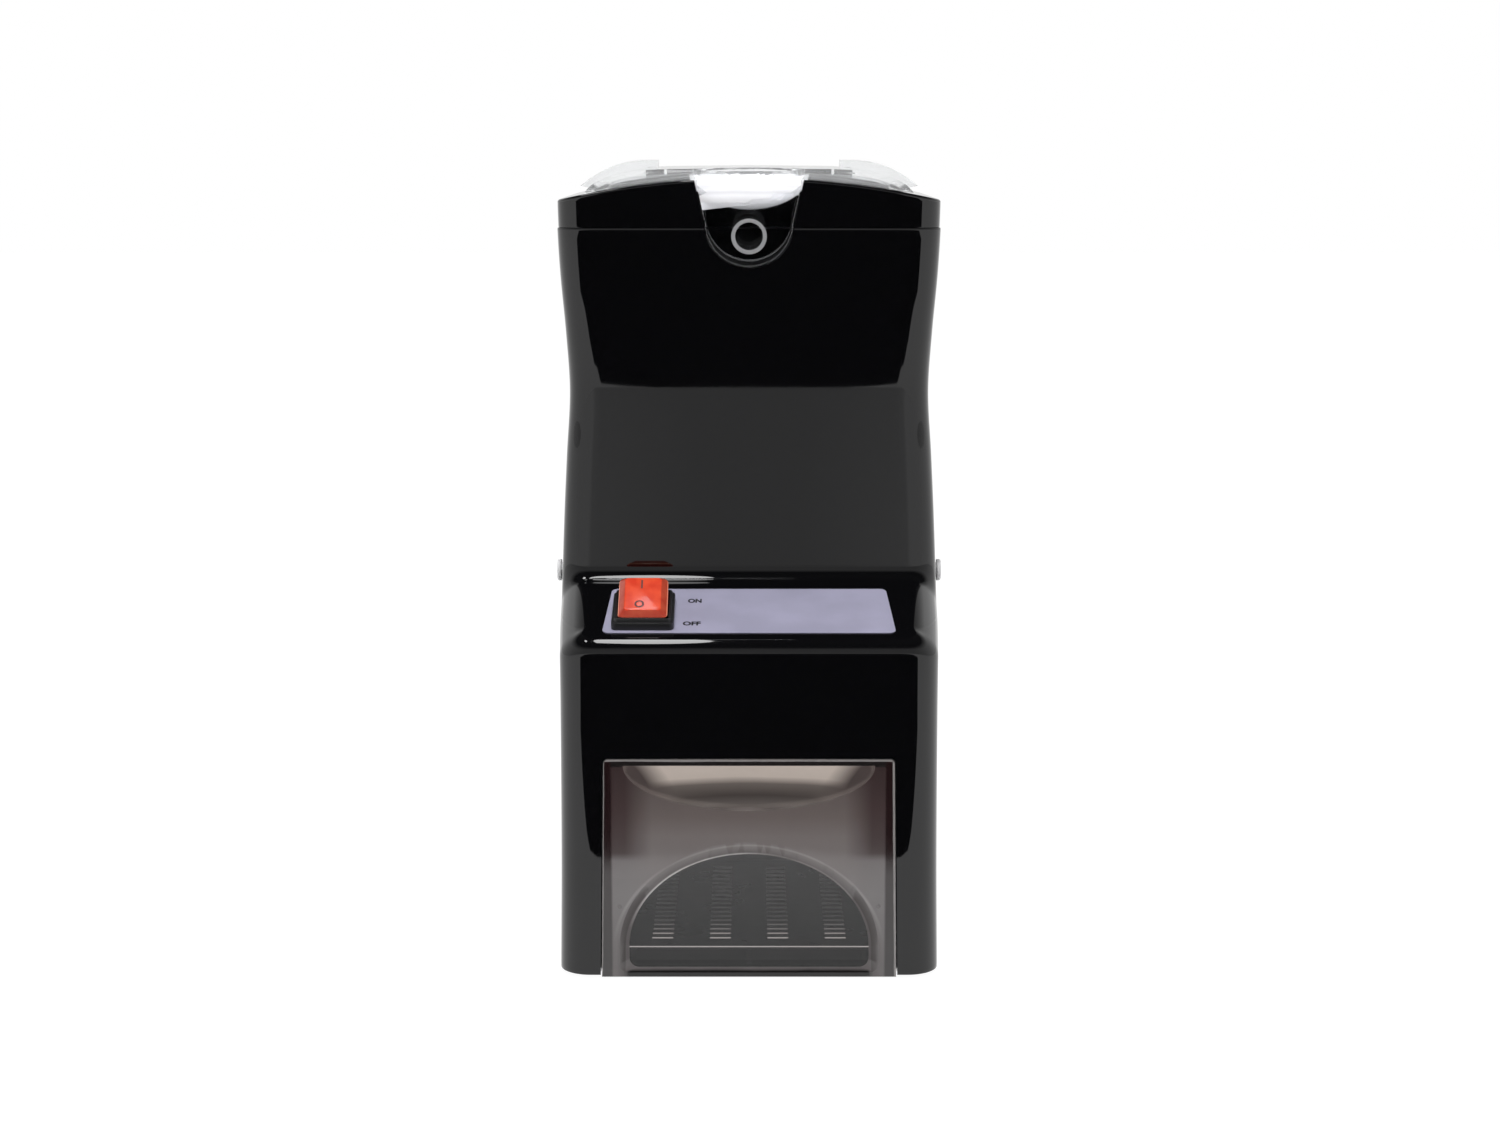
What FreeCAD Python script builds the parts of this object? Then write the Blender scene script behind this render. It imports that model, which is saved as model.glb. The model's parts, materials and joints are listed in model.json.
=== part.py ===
import FreeCAD
import Part
import math
import os

from FreeCAD import Vector

os.makedirs("parts", exist_ok=True)

# ---------------------------------------------------------------------------
# Electric ice crusher, millimetres.  X runs across the front, Y runs from the
# front to the back, Z is up.  The origin is the middle of the footprint on
# the table.  Ice goes in under the clear lid, falls through a hopper into the
# crushing chamber, and drops through a chute into the drawer.
# ---------------------------------------------------------------------------

# Running, seating and press gaps
SEAT = 0.3
RUN = 0.05
PRESS = 0.02

# Housing: outer form.  CROWN_Z is the top of the cap, SEAM_Z its joint with the housing.
DEPTH = 250.0
FRONT = -DEPTH / 2
BACK = DEPTH / 2
WALL = 3.0
BACK_WALL = 5.5
SKIRT_Z = 2.0
CROWN_Z = 406.2
SEAM_Z = CROWN_Z - 25.7
CORNER_R = 15.0
SIDE_TAPER = 3.6
SIDE_BOW = 1.0
SKIN_LEVELS = 20
SKIN_TOP_Z = CROWN_Z + 9.8
# half widths of the side wall, level with the upper front wall, by height
SIDE_PROFILE = (
    (SKIRT_Z, 101.3), (0.158 * SEAM_Z, 100.4), (0.36 * SEAM_Z, 100.0), (0.499 * SEAM_Z, 99.9),
    (0.591 * SEAM_Z, 98.7), (0.683 * SEAM_Z, 96.9), (0.773 * SEAM_Z, 94.9), (0.854 * SEAM_Z, 96.5),
    (0.933 * SEAM_Z, 98.9), (SEAM_Z, 100.0), (SKIN_TOP_Z, 100.4))

# Shelf with the controls, and the front wall above it
SHELF_Z = 176.3
SHELF_TILT = 15.2
SHELF_DEPTH = 0.3 * DEPTH
WALL_Y = FRONT + SHELF_DEPTH
SHELF_FILLET = 6.0
FRONT_EDGE_R = 6.0
SIDE_EDGE_R = 14.0
# slope of the wall at its foot, and how far it leans back from there, by height
WALL_FOOT_SLOPE = 0.06
UPPER_LEAN = ((3.0, SEAM_Z - 90.5), (0.5, SEAM_Z - 40.5), (-6.5, SEAM_Z), (-10.5, SEAM_Z + 19.5),
              (-13.0, SEAM_Z + 43.5))

# Side plugs, one low on each side of the upper body
SIDE_PLUG_Y = WALL_Y + 25.0
SIDE_PLUG_Z = SHELF_Z + 20.1
SIDE_PLUG_R = 5.85
SIDE_PLUG_PROUD = 2.2
SIDE_PLUG_STEM_R = 4.0

# Top cap
CROWN_R = 443.0
CAP_STEP = 0.6
LIP_DEPTH = 8.0
LIP_T = 2.0

# Lid tongue, its pocket, and the finger bowl behind it
TONGUE_TOP_HALF = 27.7
TONGUE_TOP_Z = CROWN_Z + 0.8
TONGUE_R = 22.5
TONGUE_BOTTOM_Z = SEAM_Z - 20.2
TONGUE_T = 3.0
TONGUE_PROUD = 0.8
TONGUE_GAP = 0.9
POCKET_DEPTH = 9.0
POCKET_BACKING = 4.0
BOWL_HALF = 29.0
BOWL_R = 16.5
BOWL_Y = WALL_Y + 3.0
BOWL_Z = CROWN_Z + 2.3
BOWL_T = 2.0
BOWL_BRIM = 1.2
TONGUE_RING_Z = SEAM_Z - 4.1
TONGUE_RING_R = 8.5
TONGUE_RING_BORE_R = 7.2
TONGUE_RING_PROUD = 0.9

# Lid
LID_HALF = 88.0
LID_FRONT = WALL_Y - 7.5
LID_BACK = FRONT + 0.82 * DEPTH
LID_T = 2.6
LID_CORNER_R = 22.0
# outer faces of the lid's dome and wings: distance from the middle, height over CROWN_Z
LID_PROFILE = ((0.0, 4.9), (34.0, 4.6), (56.0, 3.8), (70.0, 1.4), (80.0, -2.8), (86.0, -8.6))
WING_FRONT = LID_BACK - 23.0
WING_OUTER = ((51.0, 7.9), (60.0, 7.8), (67.0, 7.2), (80.0, 3.0), (94.4, -6.3))
WING_UNDER = ((51.0, 2.8), (69.0, 0.2), (85.0, -8.1))

# Lid hinge
HINGE_Y = LID_BACK + 5.0
HINGE_Z = CROWN_Z - 0.8
HINGE_PIN_R = 2.0
EAR_R = 4.6
EAR_INNER = 47.0
EAR_OUTER = 57.0
HINGE_POCKET_HALF = 61.0
HINGE_POCKET_FRONT = HINGE_Y - 11.0
HINGE_POCKET_BACK = HINGE_Y + 11.0
HINGE_POCKET_Z = CROWN_Z - 6.7

# Lid safety switch, hung under a ledge inside the cap
PLUNGER_X = 86.7
PLUNGER_Y = FRONT + 0.6 * DEPTH
PLUNGER_R = 1.8
LEDGE_X0 = 76.5
LEDGE_X1 = 99.0
LEDGE_Z = SEAM_Z + 3.5
LEDGE_T = 2.5
LID_SWITCH_H = 16.0

# Hopper
HOPPER_HALF = 72.0
HOPPER_FRONT = BOWL_Y + 24.0
HOPPER_BACK = HINGE_POCKET_FRONT - 5.0
HOPPER_T = 2.0
HOPPER_RIM = 1.3
HOPPER_RIM_T = 1.6
HOPPER_NECK_Z = SEAM_Z - 2.5
HOPPER_CORNER_R = 16.0

# Crushing chamber between the two frame plates, round the rotor
ROTOR_Z = 245.0
PLATE_T = 5.0
CHAMBER_HALF = 47.0
CHAMBER_FRONT = FRONT + 0.344 * DEPTH
CHAMBER_BACK = FRONT + 0.64 * DEPTH
CHAMBER_T = 3.0
CHAMBER_LOW = ROTOR_Z - 47.0
CHAMBER_HIGH = ROTOR_Z + 51.0
CHAMBER_BOSS_R = 4.0
CHAMBER_BOSS_LENGTH = 6.0

# Hopper spout, hung into the top of the chamber
SPOUT_DIP = 6.0
SPOUT_R = 8.0
SPOUT_GAP = 0.5
SPOUT_HALF = CHAMBER_HALF - CHAMBER_T - SPOUT_GAP
SPOUT_FRONT = CHAMBER_FRONT + CHAMBER_T + SPOUT_GAP
SPOUT_BACK = CHAMBER_BACK - CHAMBER_T - SPOUT_GAP

# Chute from the chamber through the deck over the drawer
CHUTE_T = 2.0
CHUTE_LOW = 112.0
CHUTE_FLANGE = 3.0

# Rotor
ROTOR_Y = (CHAMBER_FRONT + CHAMBER_BACK) / 2
SHAFT_R = 7.0
BLADES = 6
BLADE_T = 5.0
BLADE_PITCH = 14.0
BLADE_R = (CHAMBER_BACK - CHAMBER_FRONT) / 2 - CHAMBER_T - 3.0
BLADE_HUB_R = 12.0
SPACER_R = 9.5
COMB_T = 5.0
COMB_HEIGHT = 7.0
COMB_BAR = 3.0
BUSH_R = 10.0
BUSH_FLANGE_R = 13.0
BUSH_FLANGE_T = 1.5

# Gear train on the left frame plate
PRESSURE_ANGLE = 25.0
BACKLASH = 0.25
SLOW_MODULE = 2.0
ROTOR_TEETH = 36
IDLER_SMALL_TEETH = 14
FAST_MODULE = 1.5
IDLER_LARGE_TEETH = 56
MOTOR_TEETH = 14
SLOW_WIDTH = 12.0
FAST_WIDTH = 8.0
GEAR_SPACE = 2.0
IDLER_AXLE_R = 4.0

# Motor
MOTOR_Y = ROTOR_Y + 71.0
MOTOR_Z = ROTOR_Z - 69.0
MOTOR_R = 33.0
MOTOR_LENGTH = 78.0
MOTOR_SHAFT_R = 4.0
BELL_T = 8.0
FAN_R = 28.0
FAN_BLADES = 7
MOTOR_SCREW_CIRCLE = 50.0

# Run capacitor on the base plate
CAPACITOR_R = 15.0
CAPACITOR_H = 52.0
CAPACITOR_X = 20.0
CAPACITOR_Y = LID_BACK
CLIP_T = 1.5
CLIP_WIDTH = 12.0

# Drawer and the bay it slides in
DRAWER_TOP_HALF = 73.9
DRAWER_LOW_HALF = 75.7
DRAWER_TOP_Z = 115.9
DRAWER_LOW_Z = 1.1
DRAWER_FACE = 0.3
DRAWER_GAP = 0.6
PANEL_T = 3.0
BIN_HALF = 71.5
BIN_BACK = FRONT + 0.672 * DEPTH
BIN_TOP_Z = 100.0
BIN_T = 2.2
SCOOP_HALF = 64.0
SCOOP_DROP = 23.5
SCOOP_TOP_Z = 112.6
WINDOW_HALF = 61.6
WINDOW_LOW_Z = 4.8
WINDOW_SPRING_Z = 15.5
WINDOW_TOP_Z = 64.9
WINDOW_BEVEL = 8.0
WINDOW_DEPTH = 5.0
GRID_Z = 13.5
GRID_T = 1.6
GRID_PITCH = 7.6
GRID_SLOT = 3.2
GRID_SLOT_HALF = 5.4
GRID_COLUMNS = (-45.0, -15.0, 15.0, 45.0)
GRID_FIRST = FRONT + 20.0
GRID_ROWS = int((BIN_BACK - 10.0 - GRID_SLOT - GRID_FIRST) / GRID_PITCH) + 1
BAY_HALF = 73.0
BAY_T = 2.0
BAY_BACK = BIN_BACK + 10.0
DECK_Z = 118.0
DECK_T = 3.0
DECK_HALF = 90.0
FRAME_LOW = DECK_Z + DECK_T
FRAME_FLANGE = 18.0

# Base and feet
BASE_Z = 3.0
BASE_T = 2.5
FOOT_R = 9.0
FOOT_X = 84.0
FOOT_FRONT = FRONT + 28.0
FOOT_BACK = BACK - 28.0
BOSS_R = 5.5
BOSS_TOP_Z = 34.0

# Switch on the shelf, in the shelf's own frame: along the slope, and up from it
LABEL_FRONT = 10.4
LABEL_BACK = SHELF_DEPTH - 12.8
LABEL_FRONT_HALF = 74.6
LABEL_BACK_HALF = 71.7
LABEL_R = 3.5
LABEL_T = 0.5
SWITCH_X = -54.15
SWITCH_S = LABEL_FRONT + 21.0
SWITCH_NECK_IN = 1.7
BEZEL_WIDTH = 31.7
BEZEL_LENGTH = 37.0
BEZEL_H = 3.3
BEZEL_STEP = 1.5
BEZEL_STEP_IN = 1.3
ROCKER_WIDTH = 25.2
ROCKER_HALF = 15.0
ROCKER_H = 9.0
ROCKER_DIP = 2.4
ROCKER_PIVOT = 2.0
ROCKER_REST = 14.0
ROCKER_GAP = 0.4
ROCKER_PIN_R = 1.25
SWITCH_DEPTH = 22.0
SWITCH_CAVITY = 8.0

# Rear cover
COVER_HALF = 75.0
COVER_LOW = 40.0
COVER_HIGH = SEAM_Z - 40.5
COVER_T = 2.5
COVER_LIP = 8.0
COVER_SINK = 1.8
VENT_MIDDLE_Z = MOTOR_Z + 59.0
VENT_ROWS = 12
VENT_PITCH = 9.0
VENT_HEIGHT = 3.2
VENT_HALF = 24.0

# Power inlet, held by its flange behind the rear cover
INLET_X = -45.0
INLET_Z = COVER_LOW + 26.0
INLET_FLANGE_T = 2.0
INLET_FLANGE_HALF = (15.5, 12.0)
INLET_BODY_HALF = (13.6, 10.0)
INLET_CAVITY_HALF = (12.2, 8.2)
INLET_DEPTH = 22.0
INLET_CAVITY = 16.0
INLET_PIN_STAND = 11.0
INLET_PIN_TAIL = 6.0

# Screws
SCREW_R = 2.0
SCREW_HEAD_R = 3.5
SCREW_HEAD_T = 2.2


# ---------------------------------------------------------------------------
# Helpers
# ---------------------------------------------------------------------------

def vec(x, y, z):
    return Vector(x, y, z)


def mirror(point):
    return vec(-point.x, point.y, point.z)


def box(x0, x1, y0, y1, z0, z1):
    return Part.makeBox(x1 - x0, y1 - y0, z1 - z0, vec(x0, y0, z0))


def rod_x(x0, x1, y, z, radius):
    return Part.makeCylinder(radius, x1 - x0, vec(x0, y, z), vec(1, 0, 0))


def rod_y(x, y0, y1, z, radius):
    return Part.makeCylinder(radius, y1 - y0, vec(x, y0, z), vec(0, 1, 0))


def rod_z(x, y, z0, z1, radius):
    return Part.makeCylinder(radius, z1 - z0, vec(x, y, z0), vec(0, 0, 1))


def fuse(shapes):
    return shapes[0].multiFuse(shapes[1:]).removeSplitter()


def cut(shape, tools):
    return shape.cut(Part.makeCompound(tools))


def line(a, b):
    return Part.LineSegment(a, b).toShape()


def arc(a, middle, b):
    return Part.Arc(a, middle, b).toShape()


def spline(points, start, end):
    curve = Part.BSplineCurve()
    curve.interpolate(Points=points, InitialTangent=start, FinalTangent=end)
    return curve.toShape()


def prism(edges, push):
    return Part.Face(Part.Wire(edges)).extrude(push)


def polygon_prism(points, push):
    return Part.Face(Part.makePolygon(points + [points[0]])).extrude(push)


def round_box(half, y0, y1, z0, z1, radius):
    """Upright box with round corners in plan."""
    block = box(-half, half, y0, y1, z0, z1)
    upright = [edge for edge in block.Edges if edge.BoundBox.ZLength > (z1 - z0) / 2]
    return block.makeFillet(radius, upright)


def round_wire(half, y0, y1, z, radius):
    block = round_box(half, y0, y1, z, z + 1.0, radius)
    low = [item for item in block.Faces if item.BoundBox.ZMax < z + 0.5]
    return low[0].OuterWire


def spheroid(x, y, z, half, radius):
    """Ellipsoid, half long each way along X, radius wide; its poles lie in the YZ plane."""
    ball = Part.makeSphere(radius)
    ball.rotate(vec(0, 0, 0), vec(1, 0, 0), 45.0)
    stretch = FreeCAD.Matrix()
    stretch.scale(half / radius, 1.0, 1.0)
    body = ball.transformGeometry(stretch)
    body.translate(vec(x, y, z))
    return body


def screw(x, y, z, length, axis):
    """Pan-headed screw: its head stands on the point, its shank runs along axis."""
    shank = Part.makeCylinder(SCREW_R, length, vec(x, y, z), axis)
    head = Part.makeCylinder(SCREW_HEAD_R, SCREW_HEAD_T, vec(x, y, z) - axis * SCREW_HEAD_T, axis)
    slot_at = vec(x, y, z) - axis * SCREW_HEAD_T
    slot = Part.makeCylinder(SCREW_R * 0.8, SCREW_HEAD_T / 2, slot_at, axis)
    return fuse([shank, head]).cut(slot)


def screw_hole(x, y, z, length, axis):
    return Part.makeCylinder(SCREW_R + RUN, length, vec(x, y, z), axis)


def on_shelf(shape):
    """Turn a piece from the shelf's own frame onto the sloping shelf."""
    placed = shape.copy()
    placed.rotate(vec(0, 0, 0), vec(1, 0, 0), SHELF_TILT)
    placed.translate(vec(0, FRONT, SHELF_Z))
    return placed


def save(name, shape):
    shape.exportStep("parts/" + name + ".step")
    print(name, "solids", len(shape.Solids), "valid", shape.isValid(), "cm3", round(shape.Volume / 1000, 2))


# ---------------------------------------------------------------------------
# Housing skin: a loft through plan sections, cut by the shelf and front wall
# ---------------------------------------------------------------------------

def profile_half(z):
    """Half width of the side wall at a height: a smooth curve through SIDE_PROFILE."""
    last = len(SIDE_PROFILE) - 1
    place = 0
    while place < last - 1 and z > SIDE_PROFILE[place + 1][0]:
        place += 1
    slopes = []
    for index in (place, place + 1):
        below = SIDE_PROFILE[max(index - 1, 0)]
        above = SIDE_PROFILE[min(index + 1, last)]
        slopes.append((above[1] - below[1]) / (above[0] - below[0]))
    z0, half0 = SIDE_PROFILE[place]
    z1, half1 = SIDE_PROFILE[place + 1]
    step = z1 - z0
    t = (z - z0) / step
    value = half0 * (1 + 2 * t) * (1 - t) ** 2 + half1 * t * t * (3 - 2 * t)
    return value + step * (slopes[0] * t * (1 - t) ** 2 - slopes[1] * t * t * (1 - t))


def corner(center_x, center_y, z, radius, start, end):
    points = []
    for angle in (start, (start + end) / 2, end):
        turn = math.radians(angle)
        points.append(vec(center_x + radius * math.cos(turn), center_y + radius * math.sin(turn), z))
    return points


def plan_section(z, half, inset, back_inset):
    """One level of the skin: flat front and back, bowed sides, round corners."""
    radius = CORNER_R - inset
    front_half = half - SIDE_TAPER - inset
    back_half = half + SIDE_BOW - inset
    front_y = FRONT + inset
    back_y = BACK - back_inset
    lean = math.degrees(math.atan(1.5 * SIDE_TAPER / SHELF_DEPTH))
    right_front = corner(front_half - radius, front_y + radius, z, radius, -90.0, -lean)
    right_back = corner(back_half - radius, back_y - radius, z, radius, 0.0, 90.0)
    reach = (right_back[0].y - right_front[2].y) / 3
    turn = math.radians(lean)
    handle_a = right_front[2] + vec(reach * math.sin(turn), reach * math.cos(turn), 0)
    handle_b = right_back[0] - vec(0, 1.4 * reach, 0)
    right = Part.BezierCurve()
    right.setPoles([right_front[2], handle_a, handle_b, right_back[0]])
    left = Part.BezierCurve()
    left.setPoles([mirror(p) for p in (right_back[0], handle_b, handle_a, right_front[2])])
    edges = [line(mirror(right_front[0]), right_front[0])]
    edges.append(arc(*right_front))
    edges.append(right.toShape())
    edges.append(arc(*right_back))
    edges.append(line(right_back[2], mirror(right_back[2])))
    edges.append(arc(mirror(right_back[2]), mirror(right_back[1]), mirror(right_back[0])))
    edges.append(left.toShape())
    edges.append(arc(mirror(right_front[2]), mirror(right_front[1]), mirror(right_front[0])))
    return Part.Wire(edges)


def front_profile(offset):
    """Shelf line, inner fillet and upper front wall, moved into the body by offset."""
    tilt = math.radians(SHELF_TILT)
    radius = SHELF_FILLET + offset
    wall_y = WALL_Y + offset
    base_z = SHELF_Z - offset / math.cos(tilt)
    center_y = wall_y - radius
    center_z = base_z + math.tan(tilt) * (center_y - FRONT) + radius / math.cos(tilt)
    start = vec(0, center_y + radius * math.sin(tilt), center_z - radius * math.cos(tilt))
    foot_turn = -math.atan(WALL_FOOT_SLOPE)
    half_turn = (tilt - math.pi / 2 + foot_turn) / 2
    middle = vec(0, center_y + radius * math.cos(half_turn), center_z + radius * math.sin(half_turn))
    end = vec(0, center_y + radius * math.cos(foot_turn), center_z + radius * math.sin(foot_turn))
    wall_points = [end]
    for lean, z in UPPER_LEAN:
        wall_points.append(vec(0, wall_y + lean, z))
    return start, middle, end, wall_points


def front_air(offset):
    """Air in front of the upper wall and above the shelf, deepened by offset."""
    reach = 40.0
    half = 140.0
    start, middle, end, wall_points = front_profile(offset)
    slope = math.tan(math.radians(SHELF_TILT))
    low = vec(0, FRONT - reach, start.z - slope * (start.y - FRONT + reach))
    high = vec(0, FRONT - reach, wall_points[-1].z)
    edges = [line(high, low), line(low, start), arc(start, middle, end)]
    edges.append(spline(wall_points, vec(0, WALL_FOOT_SLOPE, 1), vec(0, -0.1, 1)))
    edges.append(line(wall_points[-1], high))
    air = prism(edges, vec(2 * half, 0, 0))
    air.translate(vec(-half, 0, 0))
    return air


def rim_edges(shape, offset):
    """Numbers and end radii of the edges round the shelf and up the front wall's corners."""
    start, middle, end, wall_points = front_profile(offset)
    slope = math.tan(math.radians(SHELF_TILT))
    front_r = FRONT_EDGE_R - offset
    side_r = SIDE_EDGE_R - offset
    rims = []
    for number, edge in enumerate(shape.Edges, 1):
        point = edge.valueAt(edge.getParameterByLength(edge.Length / 2))
        shelf_z = start.z + slope * (point.y - start.y)
        on_rim = abs(point.z - shelf_z) < 0.05 and point.y < start.y - 0.5
        rises = edge.BoundBox.ZLength > 0.5
        beside = abs(point.x) > SIDE_PROFILE[0][1] / 2 and start.y - 0.01 < point.y < end.y + 5.0
        if on_rim or (rises and beside and point.z > start.z - 1.0):
            radii = []
            for parameter in (edge.FirstParameter, edge.LastParameter):
                at_front = edge.valueAt(parameter).y < FRONT + offset + 0.5
                radii.append(front_r if at_front else side_r)
            rims.append((number, radii[0], radii[1]))
    return rims


def skin(inset, back_inset, low_z):
    """Solid inside the housing's skin, drawn in by inset, its rims rounded."""
    wires = []
    for level in range(SKIN_LEVELS):
        z = low_z + (SKIN_TOP_Z - low_z) * level / (SKIN_LEVELS - 1)
        wires.append(plan_section(z, profile_half(z), inset, back_inset))
    body = Part.makeLoft(wires, True, False).cut(front_air(inset))
    document = FreeCAD.newDocument("skin")
    sharp = document.addObject("Part::Feature", "sharp")
    sharp.Shape = body
    rounded = document.addObject("Part::Fillet", "rounded")
    rounded.Base = sharp
    rounded.Edges = rim_edges(body, inset)
    document.recompute()
    result = rounded.Shape.copy()
    FreeCAD.closeDocument(document.Name)
    return result


def slab(z0, z1):
    return box(-150, 150, FRONT - 30, BACK + 30, z0, z1)


def crown(offset):
    """Everything under the cap's crown, raised by offset."""
    barrel = rod_y(0, FRONT - 30, BACK + 30, CROWN_Z - CROWN_R, CROWN_R + offset)
    return barrel.common(slab(SEAM_Z - 40, CROWN_Z + 20))


def front_band(outside, inside):
    """Layer between two offsets of the upper front wall."""
    return front_air(inside).cut(front_air(outside))


def tongue_outline(grow, y0, y1):
    """Prism of the lid tongue's U outline, grown all round."""
    radius = TONGUE_R + grow
    center_z = TONGUE_BOTTOM_Z + TONGUE_R
    top_half = TONGUE_TOP_HALF + grow
    right_top = vec(top_half, y0, TONGUE_TOP_Z)
    right_low = vec(radius, y0, center_z)
    bottom = vec(0, y0, center_z - radius)
    edges = [line(mirror(right_top), right_top), line(right_top, right_low)]
    edges.append(arc(right_low, bottom, mirror(right_low)))
    edges.append(line(mirror(right_low), mirror(right_top)))
    return prism(edges, vec(0, y1 - y0, 0))


def pocket_block(grow, depth):
    outline = tongue_outline(grow, WALL_Y - 25.0, WALL_Y + 25.0)
    return outline.common(front_air(depth))


# ---------------------------------------------------------------------------
# Casing
# ---------------------------------------------------------------------------

def drawer_opening(gap, y0, y1):
    top = DRAWER_TOP_HALF + gap
    low = DRAWER_LOW_HALF + gap
    top_z = DRAWER_TOP_Z + gap
    points = [vec(-low, y0, SKIRT_Z - 5.0), vec(low, y0, SKIRT_Z - 5.0)]
    points += [vec(top, y0, top_z), vec(-top, y0, top_z)]
    block = polygon_prism(points, vec(0, y1 - y0, 0))
    upper = [e for e in block.Edges if e.BoundBox.ZMin > top_z - 1.0 and e.BoundBox.YLength > 1.0]
    return block.makeFillet(2.5, upper)


def feet_places():
    return [(x, y) for x in (-FOOT_X, FOOT_X) for y in (FOOT_FRONT, FOOT_BACK)]


def cover_screw_places():
    places = []
    for x in (-COVER_HALF + COVER_LIP / 2, COVER_HALF - COVER_LIP / 2):
        for z in (COVER_LOW + COVER_LIP, COVER_HIGH - COVER_LIP):
            places.append((x, z))
    return places


def inlet_box(half, y0, y1):
    return box(INLET_X - half[0], INLET_X + half[0], y0, y1, INLET_Z - half[1], INLET_Z + half[1])


def side_half(shape):
    """Half width of the housing where the side plugs sit."""
    probe = rod_x(0, 200, SIDE_PLUG_Y, SIDE_PLUG_Z, 0.5).common(shape)
    return probe.BoundBox.XMax


def make_housing(outer, inner):
    shell = outer.common(slab(0, SEAM_Z)).cut(inner)
    backing = pocket_block(POCKET_BACKING, POCKET_DEPTH + WALL).common(outer).common(slab(0, SEAM_Z))
    bosses = []
    for x, y in feet_places():
        bosses.append(rod_z(x, y, BASE_Z + BASE_T, BOSS_TOP_Z, BOSS_R))
        wall_x = math.copysign(SIDE_PROFILE[0][1], x)
        rib = box(min(x, wall_x), max(x, wall_x), y - 1.5, y + 1.5, BASE_Z + BASE_T, BOSS_TOP_Z)
        bosses.append(rib.common(outer))
    shell = fuse([shell, backing] + bosses)
    tools = [pocket_block(TONGUE_GAP, POCKET_DEPTH)]
    tools.append(drawer_opening(DRAWER_GAP, FRONT - 5, FRONT + 8))
    for x, y in feet_places():
        tools.append(screw_hole(x, y, 0, BOSS_TOP_Z - 6.0, vec(0, 0, 1)))
    tools.append(switch_cutout())
    tools.append(box(-COVER_HALF - SEAT, COVER_HALF + SEAT, BACK - COVER_T, BACK + 5,
                     COVER_LOW - SEAT, COVER_HIGH + SEAT))
    inner_half = COVER_HALF - COVER_LIP
    tools.append(box(-inner_half, inner_half, BACK - 12, BACK + 5,
                     COVER_LOW + COVER_LIP, COVER_HIGH - COVER_LIP))
    for x, z in cover_screw_places():
        tools.append(screw_hole(x, BACK + 1, z, BACK_WALL + 2, vec(0, -1, 0)))
    tools.append(rod_x(-130, 130, SIDE_PLUG_Y, SIDE_PLUG_Z, SIDE_PLUG_STEM_R + RUN))
    return cut(shell, tools)


def make_cap(cap_outer, cap_inner, lip_outer, lip_inner):
    shell = cap_outer.common(slab(SEAM_Z, CROWN_Z + 20)).common(crown(0))
    shell = shell.cut(cap_inner.common(crown(-WALL)))
    lip = lip_outer.cut(lip_inner).common(slab(SEAM_Z - LIP_DEPTH, SEAM_Z + 4.0))
    backing = pocket_block(POCKET_BACKING, POCKET_DEPTH + WALL).common(slab(SEAM_Z, CROWN_Z + 20))
    bowl_grow = BOWL_T + TONGUE_GAP + WALL - 0.3
    bowl_back = spheroid(0, BOWL_Y, BOWL_Z, BOWL_HALF + bowl_grow, BOWL_R + bowl_grow)
    bowl_back = bowl_back.common(slab(SEAM_Z + 1, CROWN_Z + 20))
    inside = cap_outer.common(crown(0))
    backing = fuse([backing, bowl_back]).common(inside)
    lip_notch = pocket_block(POCKET_BACKING + SEAT, POCKET_DEPTH + WALL + SEAT)
    lip = lip.cut(lip_notch.common(slab(0, SEAM_Z)))
    pocket_floor = box(-HINGE_POCKET_HALF - WALL, HINGE_POCKET_HALF + WALL, HINGE_POCKET_FRONT - WALL,
                       HINGE_POCKET_BACK + WALL, HINGE_POCKET_Z - WALL, CROWN_Z + 10).common(inside)
    ledge = box(LEDGE_X0, LEDGE_X1, PLUNGER_Y - 14, PLUNGER_Y + 14, LEDGE_Z, LEDGE_Z + LEDGE_T)
    ledge = ledge.common(inside)
    cap = fuse([shell, lip, backing, pocket_floor, ledge])
    tools = [pocket_block(TONGUE_GAP, POCKET_DEPTH).common(slab(SEAM_Z - 1, CROWN_Z + 20))]
    notch = tongue_outline(TONGUE_GAP, WALL_Y - 25.0, BOWL_Y)
    tools.append(notch.common(slab(BOWL_Z - BOWL_R + 2.0, CROWN_Z + 20)))
    bowl_grow = BOWL_T + TONGUE_GAP
    tools.append(spheroid(0, BOWL_Y, BOWL_Z, BOWL_HALF + bowl_grow, BOWL_R + bowl_grow))
    tools.append(hopper_collar(SEAT, SEAM_Z, CROWN_Z + 20))
    tools.append(box(-HINGE_POCKET_HALF, HINGE_POCKET_HALF, HINGE_POCKET_FRONT, HINGE_POCKET_BACK,
                     HINGE_POCKET_Z, CROWN_Z + 10))
    tools.append(rod_z(PLUNGER_X, PLUNGER_Y, LEDGE_Z - 5, CROWN_Z, PLUNGER_R + RUN))
    cap = cut(cap, tools)
    boss_half = EAR_INNER - 1.5
    knuckle = rod_x(-boss_half, boss_half, HINGE_Y, HINGE_Z, EAR_R - 0.4)
    web = box(-boss_half, boss_half, HINGE_Y - 3.5, HINGE_Y + 3.5, HINGE_POCKET_Z - 1, HINGE_Z)
    cap = fuse([cap, knuckle, web])
    return cap.cut(rod_x(-boss_half - 1, boss_half + 1, HINGE_Y, HINGE_Z, HINGE_PIN_R + PRESS))


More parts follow.
